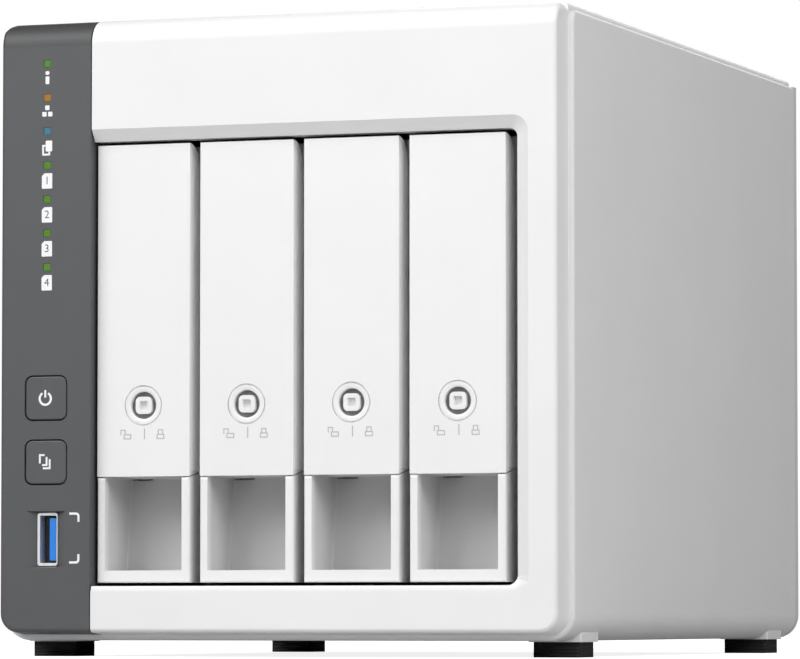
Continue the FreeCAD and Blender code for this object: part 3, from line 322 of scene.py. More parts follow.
def sheetMetal(name, look):
    # plated or cast metal: colour and gloss shift along the rolling direction
    material, tree, shader, place = newMaterial(name)
    shader.inputs["Metallic"].default_value = 1.0
    stretched = addNode(tree, "ShaderNodeMapping", {"Scale": look.get("stretch", (1, 1, 1))},
                        {"Vector": place})
    grain = addNode(tree, "ShaderNodeTexNoise", {"Scale": perMm(look["grain"]), "Detail": 4},
                    {"Vector": stretched.outputs["Vector"]})
    tone = toneBetween(tree, grain, look)
    bump = grained(tree, shader, grain, look, 0.3)
    tree.links.new(tone.outputs["Result"], shader.inputs["Base Color"])
    tree.links.new(bump.outputs["Normal"], shader.inputs["Normal"])
    return material


def litLens(name, look):
    # clear acrylic light guide, tinted and softly lit from behind, with a faint haze
    material, tree, shader, place = newMaterial(name)
    shader.inputs["IOR"].default_value = 1.49
    shader.inputs["Roughness"].default_value = 0.25
    shader.inputs["Emission Strength"].default_value = look["glow"]
    haze = addNode(tree, "ShaderNodeTexNoise", {"Scale": perMm(0.9), "Detail": 2}, {"Vector": place})
    tone = toneBetween(tree, haze, look)
    tree.links.new(tone.outputs["Result"], shader.inputs["Base Color"])
    tree.links.new(tone.outputs["Result"], shader.inputs["Emission Color"])
    return material


whiteAbs = mouldedPlastic("white satin ABS front", {
    "dark": "#EDEDED", "light": "#F3F3F3", "grain": 0.45, "mottle": 28,
    "roughness": 0.42, "uneven": 0.04, "bump": 0.05})
coverAbs = mouldedPlastic("white textured ABS cover", {
    "dark": "#EBEBEB", "light": "#F1F1F1", "grain": 0.5, "mottle": 35,
    "roughness": 0.5, "uneven": 0.05, "bump": 0.10})
trayAbs = mouldedPlastic("white satin ABS tray", {
    "dark": "#EFEFEF", "light": "#F4F4F4", "grain": 0.45, "mottle": 22,
    # painted shade: the finger recess is coloured greyer
    "recessPaintedShade": "#D4D4D4", "recessFront": -106, "recessTop": 49,
    "roughness": 0.4, "uneven": 0.04, "bump": 0.04})
greyAbs = mouldedPlastic("dark grey textured ABS panel", {
    "dark": "#545557", "light": "#57585A", "grain": 0.4, "mottle": 18,
    # painted shade: the crown band is coloured a deeper grey
    "crownPaintedShade": "#414243", "crownLow": 161.6, "crownHigh": 163.4,
    "roughness": 0.5, "uneven": 0.06, "bump": 0.12})
keyAbs = mouldedPlastic("dark grey textured ABS keys", {
    "dark": "#545557", "light": "#57585A", "grain": 0.4, "mottle": 9,
    "roughness": 0.5, "uneven": 0.06, "bump": 0.12})
blackAbs = mouldedPlastic("black moulded PBT", {
    "dark": "#141415", "light": "#1B1B1C", "grain": 0.4, "mottle": 12,
    "roughness": 0.45, "uneven": 0.08, "bump": 0.10})
lockAbs = mouldedPlastic("mid grey moulded acetal", {
    "dark": "#77787A", "light": "#7F8082", "grain": 0.3, "mottle": 3,
    "roughness": 0.4, "uneven": 0.05, "bump": 0.05})
footRubber = mouldedPlastic("black moulded rubber", {
    "dark": "#161616", "light": "#1E1E1E", "grain": 0.5, "mottle": 6, "ribs": 0.9,
    "roughness": 0.75, "uneven": 0.08, "bump": 0.25})
whiteInk = mouldedPlastic("white pad-printed ink", {
    "dark": "#F4F4F4", "light": "#FAFAFA", "grain": 0.2, "mottle": 3,
    "roughness": 0.55, "uneven": 0.05, "bump": 0.03})
greyInk = mouldedPlastic("light grey pad-printed ink", {
    "dark": "#B9B9B9", "light": "#C2C2C2", "grain": 0.2, "mottle": 3,
    "roughness": 0.55, "uneven": 0.05, "bump": 0.03})
blueNylon = mouldedPlastic("blue moulded nylon", {
    "dark": "#2B7FE0", "light": "#3A90F0", "grain": 0.3, "mottle": 2,
    "roughness": 0.35, "uneven": 0.05, "bump": 0.04})
greenLens = litLens("acrylic light guide, green", {"dark": "#4C7A26", "light": "#578A30", "glow": 0.12})
amberLens = litLens("acrylic light guide, amber", {"dark": "#90682A", "light": "#A07732", "glow": 0.15})
blueLens = litLens("acrylic light guide, blue", {"dark": "#3F7186", "light": "#4C8197", "glow": 0.12})
nickelPlate = sheetMetal("nickel plated steel", {
    "dark": "#DFE0E1", "light": "#F1F1F2", "grain": 0.6,
    "roughness": 0.34, "uneven": 0.05, "bump": 0.05})
brightNickel = sheetMetal("bright nickel plated steel", {
    "dark": "#F0F0F1", "light": "#FAFAFA", "grain": 0.6,
    "roughness": 0.55, "uneven": 0.05, "bump": 0.03})
zincSheet = sheetMetal("zinc plated sheet steel", {
    "dark": "#A5A8AB", "light": "#BFC2C4", "grain": 2.5, "stretch": (1, 0.25, 1),
    "roughness": 0.38, "uneven": 0.08, "bump": 0.08})
castAluminium = sheetMetal("cast aluminium", {
    "dark": "#9DA0A3", "light": "#B5B8BA", "grain": 0.8,
    "roughness": 0.45, "uneven": 0.1, "bump": 0.25})
extrudedAluminium = sheetMetal("extruded aluminium", {
    "dark": "#A9ACAF", "light": "#C0C3C5", "grain": 1.2, "stretch": (1, 0.1, 1),
    "roughness": 0.35, "uneven": 0.08, "bump": 0.12})
giltContact = sheetMetal("gold plated contact", {
    "dark": "#C9A24A", "light": "#E0BC62", "grain": 0.5,
    "roughness": 0.28, "uneven": 0.05, "bump": 0.03})
powderCoat = mouldedPlastic("light grey powder coat", {
    "dark": "#DADBDC", "light": "#E2E3E4", "grain": 0.6, "mottle": 25,
    "roughness": 0.55, "uneven": 0.06, "bump": 0.22})
boardMask = mouldedPlastic("green solder mask on glass fibre", {
    "dark": "#0E3A22", "light": "#165033", "grain": 1.2, "mottle": 4,
    "roughness": 0.3, "uneven": 0.06, "bump": 0.10})
chipEpoxy = mouldedPlastic("black moulded epoxy", {
    "dark": "#18181A", "light": "#222224", "grain": 0.3, "mottle": 5,
    "roughness": 0.6, "uneven": 0.05, "bump": 0.15})
print("materials ready")


# ---- places read from the frame ----

frontPrint = 0.05                                   # ink stands this proud, so faces lie behind it
bezelBox = boxOf("front_bezel")
panelBox = boxOf("control_panel")
coverBox = boxOf("outer_cover")
wholeBox = boxOf(*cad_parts)
frontFace = wholeBox[0].y + frontPrint
coverFront, coverRear = coverBox[0].y, coverBox[1].y
halfWide = coverBox[1].x
trayCount = 4
print("frame read")


# ---- cover ----

coverSizes = {
    "wall": 2.2, "proud": 1.3, "edge": 1.15, "lowerCorner": 7, "frontCorner": 3.5, "sideTop": 1.9,
    "bossStands": 0.3, "bossWide": 14.6, "bossLong": 14.7, "bossCorner": 0.8, "lipEnd": 60,
    "frontBar": 4, "innerGap": 0.3,
    "roofSkirt": 25, "roofEdge": 1.6, "softEdge": 0.25,
}


def makeCover():
    s = coverSizes
    low = coverBox[0].z + s["bossStands"]
    roof = coverBox[1].z
    side = roof - s["sideTop"]
    inner = halfWide - s["wall"] - s["innerGap"]
    outer = s["lowerCorner"]
    trough = prism([(halfWide, side), (halfWide, low, outer), (-halfWide, low, outer),
                    (-halfWide, side), (-inner, side), (-inner, low + s["wall"], outer - s["wall"]),
                    (inner, low + s["wall"], outer - s["wall"]), (inner, side)],
                   "front", coverFront, coverRear, 10)
    roundEdges(trough, s["frontCorner"], lambda e, m: runsAlong(e, "X")
               and abs(m.y - coverFront) < 0.01 and m.z > side - 0.01, 8)
    roundEdges(trough, s["edge"], lambda e, m: m.y < coverRear - 1
               and (abs(m.x) > inner + 0.05 or m.z < low + s["wall"] - 0.1)
               and (m.y < coverFront + s["frontCorner"] + 0.1 or abs(m.x) > halfWide - 0.01), 4)
    window = prism(rectangle(-s["lipEnd"], coverFront + s["frontBar"], s["lipEnd"], coverRear + 1),
                   "floor", low - 1, low + s["wall"] + 1)
    trough = cutAway(trough, window)
    edge = halfWide - s["proud"]
    skirt = roof - s["roofSkirt"]
    roofPart = prism([(-edge, skirt), (-edge + s["wall"], skirt),
                      (-edge + s["wall"], roof - s["wall"]), (edge - s["wall"], roof - s["wall"]),
                      (edge - s["wall"], skirt), (edge, skirt),
                      (edge, roof, s["roofEdge"]), (-edge, roof, s["roofEdge"])],
                     "front", coverFront, coverRear, 4)
    bosses = []
    for x, y in footSpots():
        bosses.append(prism(around(x, y, s["bossWide"], s["bossLong"], s["bossCorner"]), "floor",
                            coverBox[0].z, low + s["wall"], 3))
    shell = fuse(trough, roofPart, *bosses)
    finishPiece(shell, "moulded_cover", "root", coverAbs, ["outer_cover"],
                s["softEdge"])


def footSpots():
    low, high = boxOf("rubber_feet")
    halfFoot = footSizes["wide"] / 2, footSizes["long"] / 2
    return [(x, y) for x in (low.x + halfFoot[0], high.x - halfFoot[0])
            for y in (low.y + halfFoot[1], high.y - halfFoot[1])]


footSizes = {
    "wide": 12.6, "long": 12.7, "corner": 0.7, "edge": 0.45,
    "grooves": 3, "groovePitch": 3, "grooveLong": 9, "grooveWide": 0.8, "grooveDeep": 0.5,
}


def makeFeet():
    # square pads with three shallow grooves underneath
    s = footSizes
    low, high = boxOf("rubber_feet")
    pads = []
    for x, y in footSpots():
        pad = prism(around(x, y, s["wide"], s["long"], s["corner"]), "floor", low.z, high.z, 3)
        grooves = [prism(around(x, y + (i - (s["grooves"] - 1) / 2) * s["groovePitch"],
                                s["grooveLong"], s["grooveWide"]),
                         "floor", low.z - 1, low.z + s["grooveDeep"]) for i in range(s["grooves"])]
        pads.append(cutAway(pad, *grooves))
    finishPiece(joinParts(*pads), "foot_pads", "root", footRubber,
                ["rubber_feet"], s["edge"], 3)


baseSizes = {"gap": 0.2, "thick": 2.2, "vents": 7, "ventPitch": 14, "ventWide": 4,
             "ventMiddle": -4.5, "ventLong": 90}


def makeBase():
    s = baseSizes
    low = coverBox[0].z + coverSizes["bossStands"]
    edge = coverSizes["lipEnd"] - s["gap"]
    front = coverFront + coverSizes["frontBar"] + s["gap"]
    plate = prism(rectangle(-edge, front, edge, coverRear - s["gap"]), "floor", low, low + s["thick"])
    slots = []
    for i in range(s["vents"]):
        x = (i - (s["vents"] - 1) / 2) * s["ventPitch"]
        slots.append(prism(around(x, s["ventMiddle"], s["ventWide"], s["ventLong"],
                                  s["ventWide"] / 2 - 0.05), "floor", low - 1, low + s["thick"] + 1, 6))
    finishPiece(cutAway(plate, *slots), "vented_base", "root", coverAbs,
                ["base_plate"], 0.3)


# ---- front mouldings ----

frontSizes = {
    "wide": 129.6, "low": 6.5, "top": 168.7, "crown": 6.5, "edge": 1.1, "corner": 4.9, "topCorner": 3.1,
    "draft": 0.8, "drop": 0.65, "bayLow": 18.6, "bayTop": 136.2, "bayRight": 66.7, "bayCorner": 2.3,
    "flareWide": 3.6, "flareTop": 3.2, "flareLow": 1.7, "flareDeep": 2.1, "flareCorner": 4.2,
    "flareLowDeep": 0.7,
}


def frontMoulding(left, right, outerSide, bareEdge):
    # slab with its section of crown, edge radius and draft; outerSide is 1 at the right end
    s = frontSizes
    corners = rectangle(left, s["low"], right, s["top"])
    low, high = (1, 2) if outerSide > 0 else (0, 3)
    corners[low] = (*corners[low], s["corner"])
    corners[high] = (*corners[high], s["topCorner"])
    slab = prism(corners, "front", frontFace, coverFront, 8)
    outer = right if outerSide > 0 else left
    for vert in slab.verts:
        if vert.co.y > coverFront - 0.01:
            vert.co.x += outerSide * s["draft"] * (abs(vert.co.x - outer) < s["corner"] + 0.01)
            vert.co.z -= s["drop"] * (vert.co.z < s["low"] + s["corner"] + 0.01)
    crown = prism([(frontFace, s["low"] - 5), (coverFront, s["low"] - 5), (coverFront, s["top"]),
                   (frontFace, s["top"], s["crown"])], "side", left - 5, right + 5, 16)
    slab = combine(slab, crown, "INTERSECT")
    inner = left + right - outer
    roundEdges(slab, s["edge"], lambda e, m: m.y < coverFront - 0.01
               and abs(m.x - inner) > 0.01 and not runsAlong(e, "Y")
               and not (runsAlong(e, "X") and m.z > s["low"] + s["corner"]), 5, 20, False)
    if bareEdge:
        roundEdges(slab, bareEdge, lambda e, m: abs(m.x - inner) < 0.01
                   and m.y < coverFront - 0.01 and m.z > s["low"] + 2, 3, 35)
    return slab


def grownFrom(bm, lid):
    # a new end ring for the solid, in place of the face that closed it
    grown = bmesh.ops.extrude_face_region(bm, geom=lid)["geom"]
    bmesh.ops.delete(bm, geom=lid, context="FACES_ONLY")
    return ([g for g in grown if isinstance(g, bmesh.types.BMFace)],
            {g for g in grown if isinstance(g, bmesh.types.BMVert)})


def makeBezel():
    s = frontSizes
    left = bezelBox[1].x - s["wide"]
    slab = frontMoulding(left, bezelBox[1].x, 1, 0)
    mouth = prism([(left - 2, s["bayLow"]), (s["bayRight"], s["bayLow"], s["bayCorner"]),
                   (s["bayRight"], s["bayTop"], s["bayCorner"]), (left - 2, s["bayTop"])],
                  "front", coverFront + 1, frontFace + s["flareDeep"], 8)
    lid = [f for f in mouth.faces if f.calc_center_median().y < frontFace + s["flareDeep"] + 0.01]
    lid, outward = grownFrom(mouth, lid)
    grow = s["flareCorner"] / s["bayCorner"]
    for vert in mouth.verts:
        high = vert.co.z > (s["bayLow"] + s["bayTop"]) / 2
        edge, way, reach = (s["bayTop"], 1, s["flareTop"]) if high else (s["bayLow"], -1, s["flareLow"])
        inX = max(vert.co.x - (s["bayRight"] - s["bayCorner"]), 0)
        inZ = max(way * (vert.co.z - edge) + s["bayCorner"], 0)
        if vert in outward and vert.co.x > left:
            vert.co = (s["bayRight"] + s["flareWide"] - s["flareCorner"] + inX * grow, frontFace,
                       edge + way * (reach - s["flareCorner"] + inZ * grow))
        elif vert in outward:
            vert.co = (vert.co.x, frontFace, vert.co.z + way * reach)
        elif vert.co.y < coverFront and not high:
            vert.co.y -= min(inZ / s["bayCorner"], 1) * (s["flareDeep"] - s["flareLowDeep"])
    lid, outward = grownFrom(mouth, lid)
    bmesh.ops.translate(mouth, verts=list(outward), vec=(0, -1, 0))
    bmesh.ops.triangulate(mouth, faces=mouth.faces)
    bmesh.ops.recalc_face_normals(mouth, faces=mouth.faces)
    slab = cutAway(slab, mouth)
    finishPiece(slab, "front_surround", "root", whiteAbs, ["front_bezel"], 0.45, 4, 24)


panelSizes = {
    "rightEdge": 0.8, "keyGap": 0.32,
    "scoopWide": 11.4, "scoopTall": 15, "scoopDeep": 1.4, "lampRoom": 0.06,
}


def centreOf(name):
    low, high = boxOf(name)
    return (low + high) / 2


def makePanel():
    s = panelSizes
    slab = frontMoulding(panelBox[0].x, panelBox[1].x, -1, s["rightEdge"])
    back = frontFace + 20
    tools = []
    for name in ("power_button", "copy_button"):
        c = centreOf(name)
        gap = s["keyGap"]
        tools.append(prism(around(c.x, c.z, keySizes["wide"] + 2 * gap, keySizes["tall"] + 2 * gap,
                                  keySizes["corner"] + gap), "front", frontFace - 1, back, 6))
    for low, high in lampBoxes():
        r = s["lampRoom"]
        tools.append(prism(rectangle(low.x - r, low.z - r, high.x + r, high.z + r, 0.25), "front",
                           frontFace - 1, back, 2))
    low, high = boxOf("front_usb_shell")
    tools.append(prism(rectangle(low.x, low.z, high.x, high.z), "front", frontFace + 0.5, back))
    slab = cutAway(slab, *tools)
    c = (low + high) / 2
    scoop = prism(around(c.x, c.z, s["scoopWide"], s["scoopTall"]), "front", frontFace - 0.001,
                  frontFace + s["scoopDeep"])
    for vert in scoop.verts:
        if vert.co.y > frontFace + 1:
            vert.co.x = c.x + (high.x - c.x + 0.05) * (1 if vert.co.x > c.x else -1)
            vert.co.z = c.z + (high.z - c.z + 0.05) * (1 if vert.co.z > c.z else -1)
    slab = cutAway(slab, scoop)
    finishPiece(slab, "grey_fascia", "root", greyAbs, ["control_panel"], 0.22, 3)


def lampBoxes():
    # each light guide's own box: the green ones share a node, so its faces are grouped by height
    boxes = [boxOf("amber_light_guide"), boxOf("blue_light_guide")]
    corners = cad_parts["green_light_guides"].data.vertices
    heights = sorted({round(corner.co.z / metre, 2) for corner in corners})
    low, high = boxOf("green_light_guides")
    for bottom, top in zip(heights[::2], heights[1::2]):
        boxes.append([Vector((low.x, low.y, bottom)), Vector((high.x, high.y, top))])
    return boxes


def makeLamps():
    bodies = {"amber": [boxOf("amber_light_guide")], "blue": [boxOf("blue_light_guide")],
              "green": lampBoxes()[2:]}
    looks = {"amber": (amberLens, "amber_light_guide"), "blue": (blueLens, "blue_light_guide"),
             "green": (greenLens, "green_light_guides")}
    for colour, boxes in bodies.items():
        guides = [prism(rectangle(low.x, low.z, high.x, high.z, 0.25), "front", low.y, high.y, 3)
                  for low, high in boxes]
        material, node = looks[colour]
        finishPiece(joinParts(*guides), colour + "_lamps", "root", material,
                    [node], 0.15, 2)


keySizes = {
    "wide": 11.75, "tall": 11.5, "capDeep": 4, "corner": 1.9, "stem": 2.4, "faceEdge": 0.4, "set": 0.05,
}


def makeKey(name):
    low, high = boxOf(name)
    c = (low + high) / 2
    s = keySizes
    face = frontFace + s["set"]
    cap = prism(around(c.x, c.z, s["wide"], s["tall"], s["corner"]), "front", face,
                frontFace + s["capDeep"], 6)
    roundEdges(cap, s["faceEdge"], lambda e, m: m.y < face + 0.01, 4, 40)
    stem = disc((c.x, c.z), s["stem"], frontFace + s["capDeep"] - 0.5, high.y, 32)
    finishPiece(fuse(cap, stem), name + "_cap", name, keyAbs, [name], 0.15, 2)


# ---- drive trays ----

traySizes = {
    "blockDeep": 22, "pocketWide": 22, "pocketLow": 3.2, "pocketDeep": 19, "pocketFoot": 14.8,
    "pocketEdge": 0.5, "frontEdge": 0.6,
    "lip": 0.7, "ceiling": 1.2, "latchLeft": 0.3, "latchWide": 5.8, "latchTall": 0.45,
    "seam": 47.1, "seamRise": 1.4, "thick": 7.3, "plateDeep": 12, "plateThick": 2,
    "railWide": 26, "slotWide": 16, "slotTall": 9, "slotPitch": 16, "slotLow": 56,
    "topRail": 128.5, "lowRail": 26.3, "earThick": 1.4, "earSet": 2.2, "pivot": 127.7,
}


def trayCentre(index):
    return centreOf(f"tray_{index + 1}_handle").x


def trayFrame():
    # built on the middle plane: front block with its finger pocket, plate, rails and ears
    s = traySizes
    low, high = boxOf("tray_1_frame")
    front = boxOf("tray_1_handle")[0].y
    half = boxOf("tray_1_handle")[1].x - trayCentre(0)
    seamRear = s["seam"] + s["seamRise"]
    block = prism([(front, low.z), (front + s["blockDeep"], low.z),
                   (front + s["blockDeep"], seamRear), (front + s["thick"], seamRear),
                   (front, s["seam"])], "side", -half, half)
    roundEdges(block, s["frontEdge"], lambda e, m: m.y < front + 0.01, 4, 30)
    wall = s["pocketWide"] / 2
    base = low.z + s["pocketLow"]
    pocket = prism([(front - 2, base), (front + s["pocketFoot"], base),
                    (front + s["pocketDeep"], s["seam"] + 6), (front - 2, s["seam"] + 6)],
                   "side", -wall, wall)
    roundEdges(pocket, s["pocketEdge"], lambda e, m: m.y > front + s["pocketFoot"] - 0.01
               and m.z < s["seam"] + 5.9, 4, 40)
    shelf = prism(rectangle(front + s["thick"] + 0.6, seamRear - s["ceiling"],
                            front + s["blockDeep"] - 1, seamRear + 9), "side", -wall - 1, wall + 1)
    pocket = combine(pocket, shelf, "DIFFERENCE")
    block = cutAway(block, pocket)
    roundEdges(block, s["lip"], lambda e, m: m.y < front + 0.01 and m.z < s["seam"] - 0.5
               and abs(m.x) < wall + 0.01 and m.z > base - 0.01, 4, 40)
    slot = prism(rectangle(-wall + s["latchLeft"], front + s["pocketDeep"] - 6,
                           -wall + s["latchLeft"] + s["latchWide"], front + s["blockDeep"] + 1),
                 "floor", seamRear - s["ceiling"] - s["latchTall"], s["seam"] + 6)
    block = cutAway(block, slot)
    rail = s["railWide"] / 2
    plateFront = front + s["plateDeep"]
    plate = prism(rectangle(-rail, s["seam"], rail, high.z), "front", plateFront,
                  plateFront + s["plateThick"])
    slots = [prism(rectangle(-s["slotWide"] / 2, s["slotLow"] + i * s["slotPitch"], s["slotWide"] / 2,
                             s["slotLow"] + s["slotTall"] + i * s["slotPitch"], 2), "front",
                   plateFront - 1, plateFront + s["plateThick"] + 1, 4) for i in range(4)]
    plate = cutAway(plate, *slots)
    topRail = prism(rectangle(-rail, plateFront, rail, high.y), "floor", s["topRail"], high.z)
    lowRail = prism(rectangle(-rail, front + s["blockDeep"] - 1, rail, high.y), "floor", low.z,
                    s["lowRail"])
    ears = []
    pivot = s["pivot"]
    for side in (-1, 1):
        outer = half - s["earSet"]
        x = sorted((side * (outer - s["earThick"]), side * outer))
        ears.append(prism([(front + 1.7, pivot), (front + 1.7, pivot - 12),
                           (plateFront + 0.5, pivot - 16), (plateFront + 0.5, pivot - 11),
                           (front + 4.4, pivot - 9), (front + 4.4, pivot),
                           (front + 3.7, pivot + 1.3), (front + 2.3, pivot + 1.3)], "side", *x))
    return fuse(block, plate, topRail, lowRail, *ears)


handleSizes = {
    "wall": 1.4, "cheek": 2, "hollowTop": 131.2, "rearArc": 7.2, "gap": 0.35, "faceEdge": 0.75,
    "groove": 5.35, "grooveWide": 0.38, "grooveDeep": 0.55, "dish": 4.6, "dishDeep": 0.3,
    "bore": 3.62, "tube": 4.9, "lockHigh": 66.2,
}


def trayHandle():
    s, t = handleSizes, traySizes
    low, high = boxOf("tray_1_handle")
    half = high.x - trayCentre(0)
    front = low.y
    body = prism([(front, low.z), (front + t["thick"], low.z + t["seamRise"]),
                  (front + t["thick"], high.z, s["rearArc"]), (front, high.z)], "side", -half, half, 10)
    roundEdges(body, s["faceEdge"], lambda e, m: m.y < front + 0.01 and m.z > low.z + 0.01, 4, 40)
    roundEdges(body, 0.35, lambda e, m: m.y < front + 0.3 and m.z < low.z + 0.5
               and runsAlong(e, "X"), 3, 40)
    hollow = prism([(front + s["wall"], low.z + s["wall"] + 0.4),
                    (front + t["thick"] + 1, low.z + s["wall"] + 1.9),
                    (front + t["thick"] + 1, s["hollowTop"]), (front + s["wall"], s["hollowTop"])],
                   "side", -half + s["cheek"], half - s["cheek"])
    body = cutAway(body, hollow)
    middle = (0, s["lockHigh"])
    tube = disc(middle, s["tube"], front + s["wall"] / 2, front + t["thick"])
    body = fuse(body, tube)
    groove = cutAway(disc(middle, s["groove"], front - 1, front + s["grooveDeep"]),
                     disc(middle, s["groove"] - s["grooveWide"], front - 2, front + 2))
    body = cutAway(body, groove)
    dish = bmesh.new()
    bmesh.ops.create_cone(dish, cap_ends=True, segments=64, radius1=s["bore"] - 0.2,
                          radius2=s["dish"] + s["dish"] - s["bore"], depth=2 * s["dishDeep"],
                          matrix=Matrix.Translation((0, front, s["lockHigh"]))
                          @ Matrix.Rotation(math.pi / 2, 4, "X"))
    body = cutAway(body, dish)
    return cutAway(body, disc(middle, s["bore"], front - 1, front + 12))


lockSizes = {
    "face": 1.5, "knob": 4.55, "knobCorner": 1.25, "knobSet": 0.2, "socket": 2.3, "radius": 3.57,
    "camLong": 7.5, "camWide": 4.4, "camThick": 1.2, "rear": 8.2,
}


def lockBarrel():
    s = lockSizes
    front = boxOf("tray_1_handle")[0].y
    high = handleSizes["lockHigh"]
    barrel = disc((0, high), s["radius"], front + s["face"], front + s["rear"])
    cam = prism(rectangle(-s["camWide"] / 2, high - s["camWide"] / 2, s["camWide"] / 2,
                          high + s["camLong"], 0.8), "front", front + s["rear"] - 0.2,
                front + s["rear"] + s["camThick"], 3)
    return fuse(barrel, cam)


def lockKnob():
    # rounded square head with a square socket for the key
    s = lockSizes
    front = boxOf("tray_1_handle")[0].y
    high = handleSizes["lockHigh"]
    half = s["knob"] / 2
    knob = prism(rectangle(-half, high - half, half, high + half, s["knobCorner"]), "front",
                 front + s["knobSet"], front + s["face"] + 0.1, 6)
    socket = s["socket"] / 2
    hole = prism(rectangle(-socket, high - socket, socket, high + socket, 0.3), "front", front - 1,
                 front + s["face"] - 0.1, 3)
    return cutAway(knob, hole)


def makeTrays():
    frameMesh, handleMesh, barrelMesh, knobMesh = trayFrame(), trayHandle(), lockBarrel(), lockKnob()
    for i in range(trayCount):
        n = i + 1
        x = trayCentre(i)
        finishPiece(shifted(frameMesh, x), f"tray_{n}_body", f"tray_{n}", trayAbs,
                    [f"tray_{n}_frame"], 0.25, 2)
        finishPiece(shifted(handleMesh, x), f"tray_{n}_door", f"handle_{n}", trayAbs,
                    [f"tray_{n}_handle"], 0.18, 3)
        finishPiece(shifted(barrelMesh, x), f"tray_{n}_barrel", f"lock_{n}", lockAbs,
                    [f"tray_{n}_lock"], 0.12, 2)
        finishPiece(shifted(knobMesh, x), f"tray_{n}_knob", f"lock_{n}", trayAbs,
                    [], 0.2, 3)


# ---- printed marks ----

def lineMark(points, thick, y, closed=False):
    # stroke of even width through the points, with square ends
    parts = []
    ends = list(zip(points, points[1:] + points[:1])) if closed else list(zip(points, points[1:]))
    for (ax, az), (bx, bz) in ends:
        grow = thick / 2
        parts.append(prism(rectangle(min(ax, bx) - grow, min(az, bz) - grow, max(ax, bx) + grow,
                                     max(az, bz) + grow), "front", y - frontPrint, y))
    whole = parts[0]
    for part in parts[1:]:
        whole = combine(whole, part, "UNION")
    return whole


def ringMark(centre, radius, thick, y, gapAngle):
    # ring broken at the top, spun from its section
    bm = bmesh.new()
    inner, outer = radius - thick / 2, radius + thick / 2
    start = math.radians(gapAngle / 2)
    corners = [Vector((math.sin(start) * r, d, math.cos(start) * r))
               for r, d in ((inner, -frontPrint), (outer, -frontPrint), (outer, 0), (inner, 0))]
    section = bm.faces.new([bm.verts.new(c) for c in corners])
    bmesh.ops.spin(bm, geom=[section, *section.edges, *section.verts], cent=(0, 0, 0), axis=(0, 1, 0),
                   angle=2 * math.pi - 2 * start, steps=40, use_merge=False)
    bmesh.ops.holes_fill(bm, edges=bm.edges[:])
    bmesh.ops.recalc_face_normals(bm, faces=bm.faces)
    bmesh.ops.translate(bm, verts=bm.verts, vec=(centre[0], y, centre[1]))
    return bm


def patchMark(x, z, wide, tall, corner, y, segments=2):
    return prism(around(x, z, wide, tall, corner), "front", y - frontPrint, y, segments)


def finishMark(bm, name, body, material):
    return finishPiece(bm, name, body, material, [], 0)


iconHeights = {"status": 153.46, "network": 144.78, "copy": 134.91}
driveCards = {"first": 126.12, "pitch": 9.03, "wide": 3.0, "tall": 4.1, "notch": 0.75, "numeral": 3.0}


def makePanelMarks():
    # a lamp's meaning is printed under it: a letter i, three linked boxes, two pages, numbered cards
    x = centreOf("amber_light_guide").x
    y = frontFace
    z = iconHeights["status"]
    marks = [patchMark(x, z - 0.475, 1.1, 2.05, 0.2, y), patchMark(x, z + 1.45, 1.1, 1.0, 0.35, y, 3)]
    z = iconHeights["network"]
    for dx, dz in ((0, 0.85), (-0.85, -0.85), (0.85, -0.85)):
        marks.append(patchMark(x + dx, z + dz, 1.24, 1.24, 0.15, y))
    z = iconHeights["copy"]
    marks.append(patchMark(x + 0.5, z + 0.5, 1.9, 2.9, 0.25, y))
    marks.append(lineMark([(x - 0.75, z + 0.6), (x - 1.2, z + 0.6), (x - 1.2, z - 1.75),
                           (x + 0.6, z - 1.75), (x + 0.6, z - 1.25)], 0.5, y))
    for i in range(trayCount):
        z = driveCards["first"] - i * driveCards["pitch"]
        w, h = driveCards["wide"] / 2, driveCards["tall"] / 2
        notch = driveCards["notch"]
        card = prism([(x - w, z - h, 0.2), (x + w, z - h, 0.2), (x + w, z + h, 0.2),
                      (x - w + notch, z + h), (x - w, z + h - notch)], "front", y - frontPrint, y, 2)
        marks.append(cutAway(card, numeral(str(i + 1), x, z, y)))
    finishMark(joinParts(*marks), "lamp_symbols", "root", whiteInk)


socketMarks = {"right": -54.85, "half": 6.75, "wide": 2.95, "tall": 2.5, "stroke": 0.6, "round": 1.0,
               "above": 0.3}


def makeSocketMarks():
    # two rounded corner strokes beside the socket
    y = frontFace
    c, m = centreOf("front_usb_shell").z + socketMarks["above"], socketMarks
    corners = []
    for way in (-1, 1):
        end = c + way * m["half"]
        corners.append(prism([(m["right"] - m["wide"], end), (m["right"], end, m["round"]),
                              (m["right"], end - way * m["tall"]),
                              (m["right"] - m["stroke"], end - way * m["tall"]),
                              (m["right"] - m["stroke"], end - way * m["stroke"], m["round"] / 2),
                              (m["right"] - m["wide"], end - way * m["stroke"])],
                             "front", y - frontPrint, y, 4))
    finishMark(joinParts(*corners), "socket_marks", "root", whiteInk)


def numeral(text, x, z, y):
    # plain figure, cut out of its card
    curve = bpy.data.curves.new("figure", "FONT")
    curve.body = text
    curve.size = driveCards["numeral"]
    curve.align_x = "CENTER"
    curve.align_y = "CENTER"
    curve.extrude = 1
    curve.resolution_u = 3
    obj = bpy.data.objects.new("figure", curve)
    scene.collection.objects.link(obj)
    flat = bpy.data.meshes.new_from_object(obj.evaluated_get(bpy.context.evaluated_depsgraph_get()))
    bm = bmesh.new()
    bm.from_mesh(flat)
    bpy.data.objects.remove(obj)
    bpy.data.curves.remove(curve)
    bpy.data.meshes.remove(flat)
    bmesh.ops.remove_doubles(bm, verts=bm.verts, dist=0.001)
    bmesh.ops.transform(bm, verts=bm.verts, matrix=Matrix.Translation((x, y, z))
                        @ Matrix.Rotation(math.pi / 2, 4, "X"))
    return bm


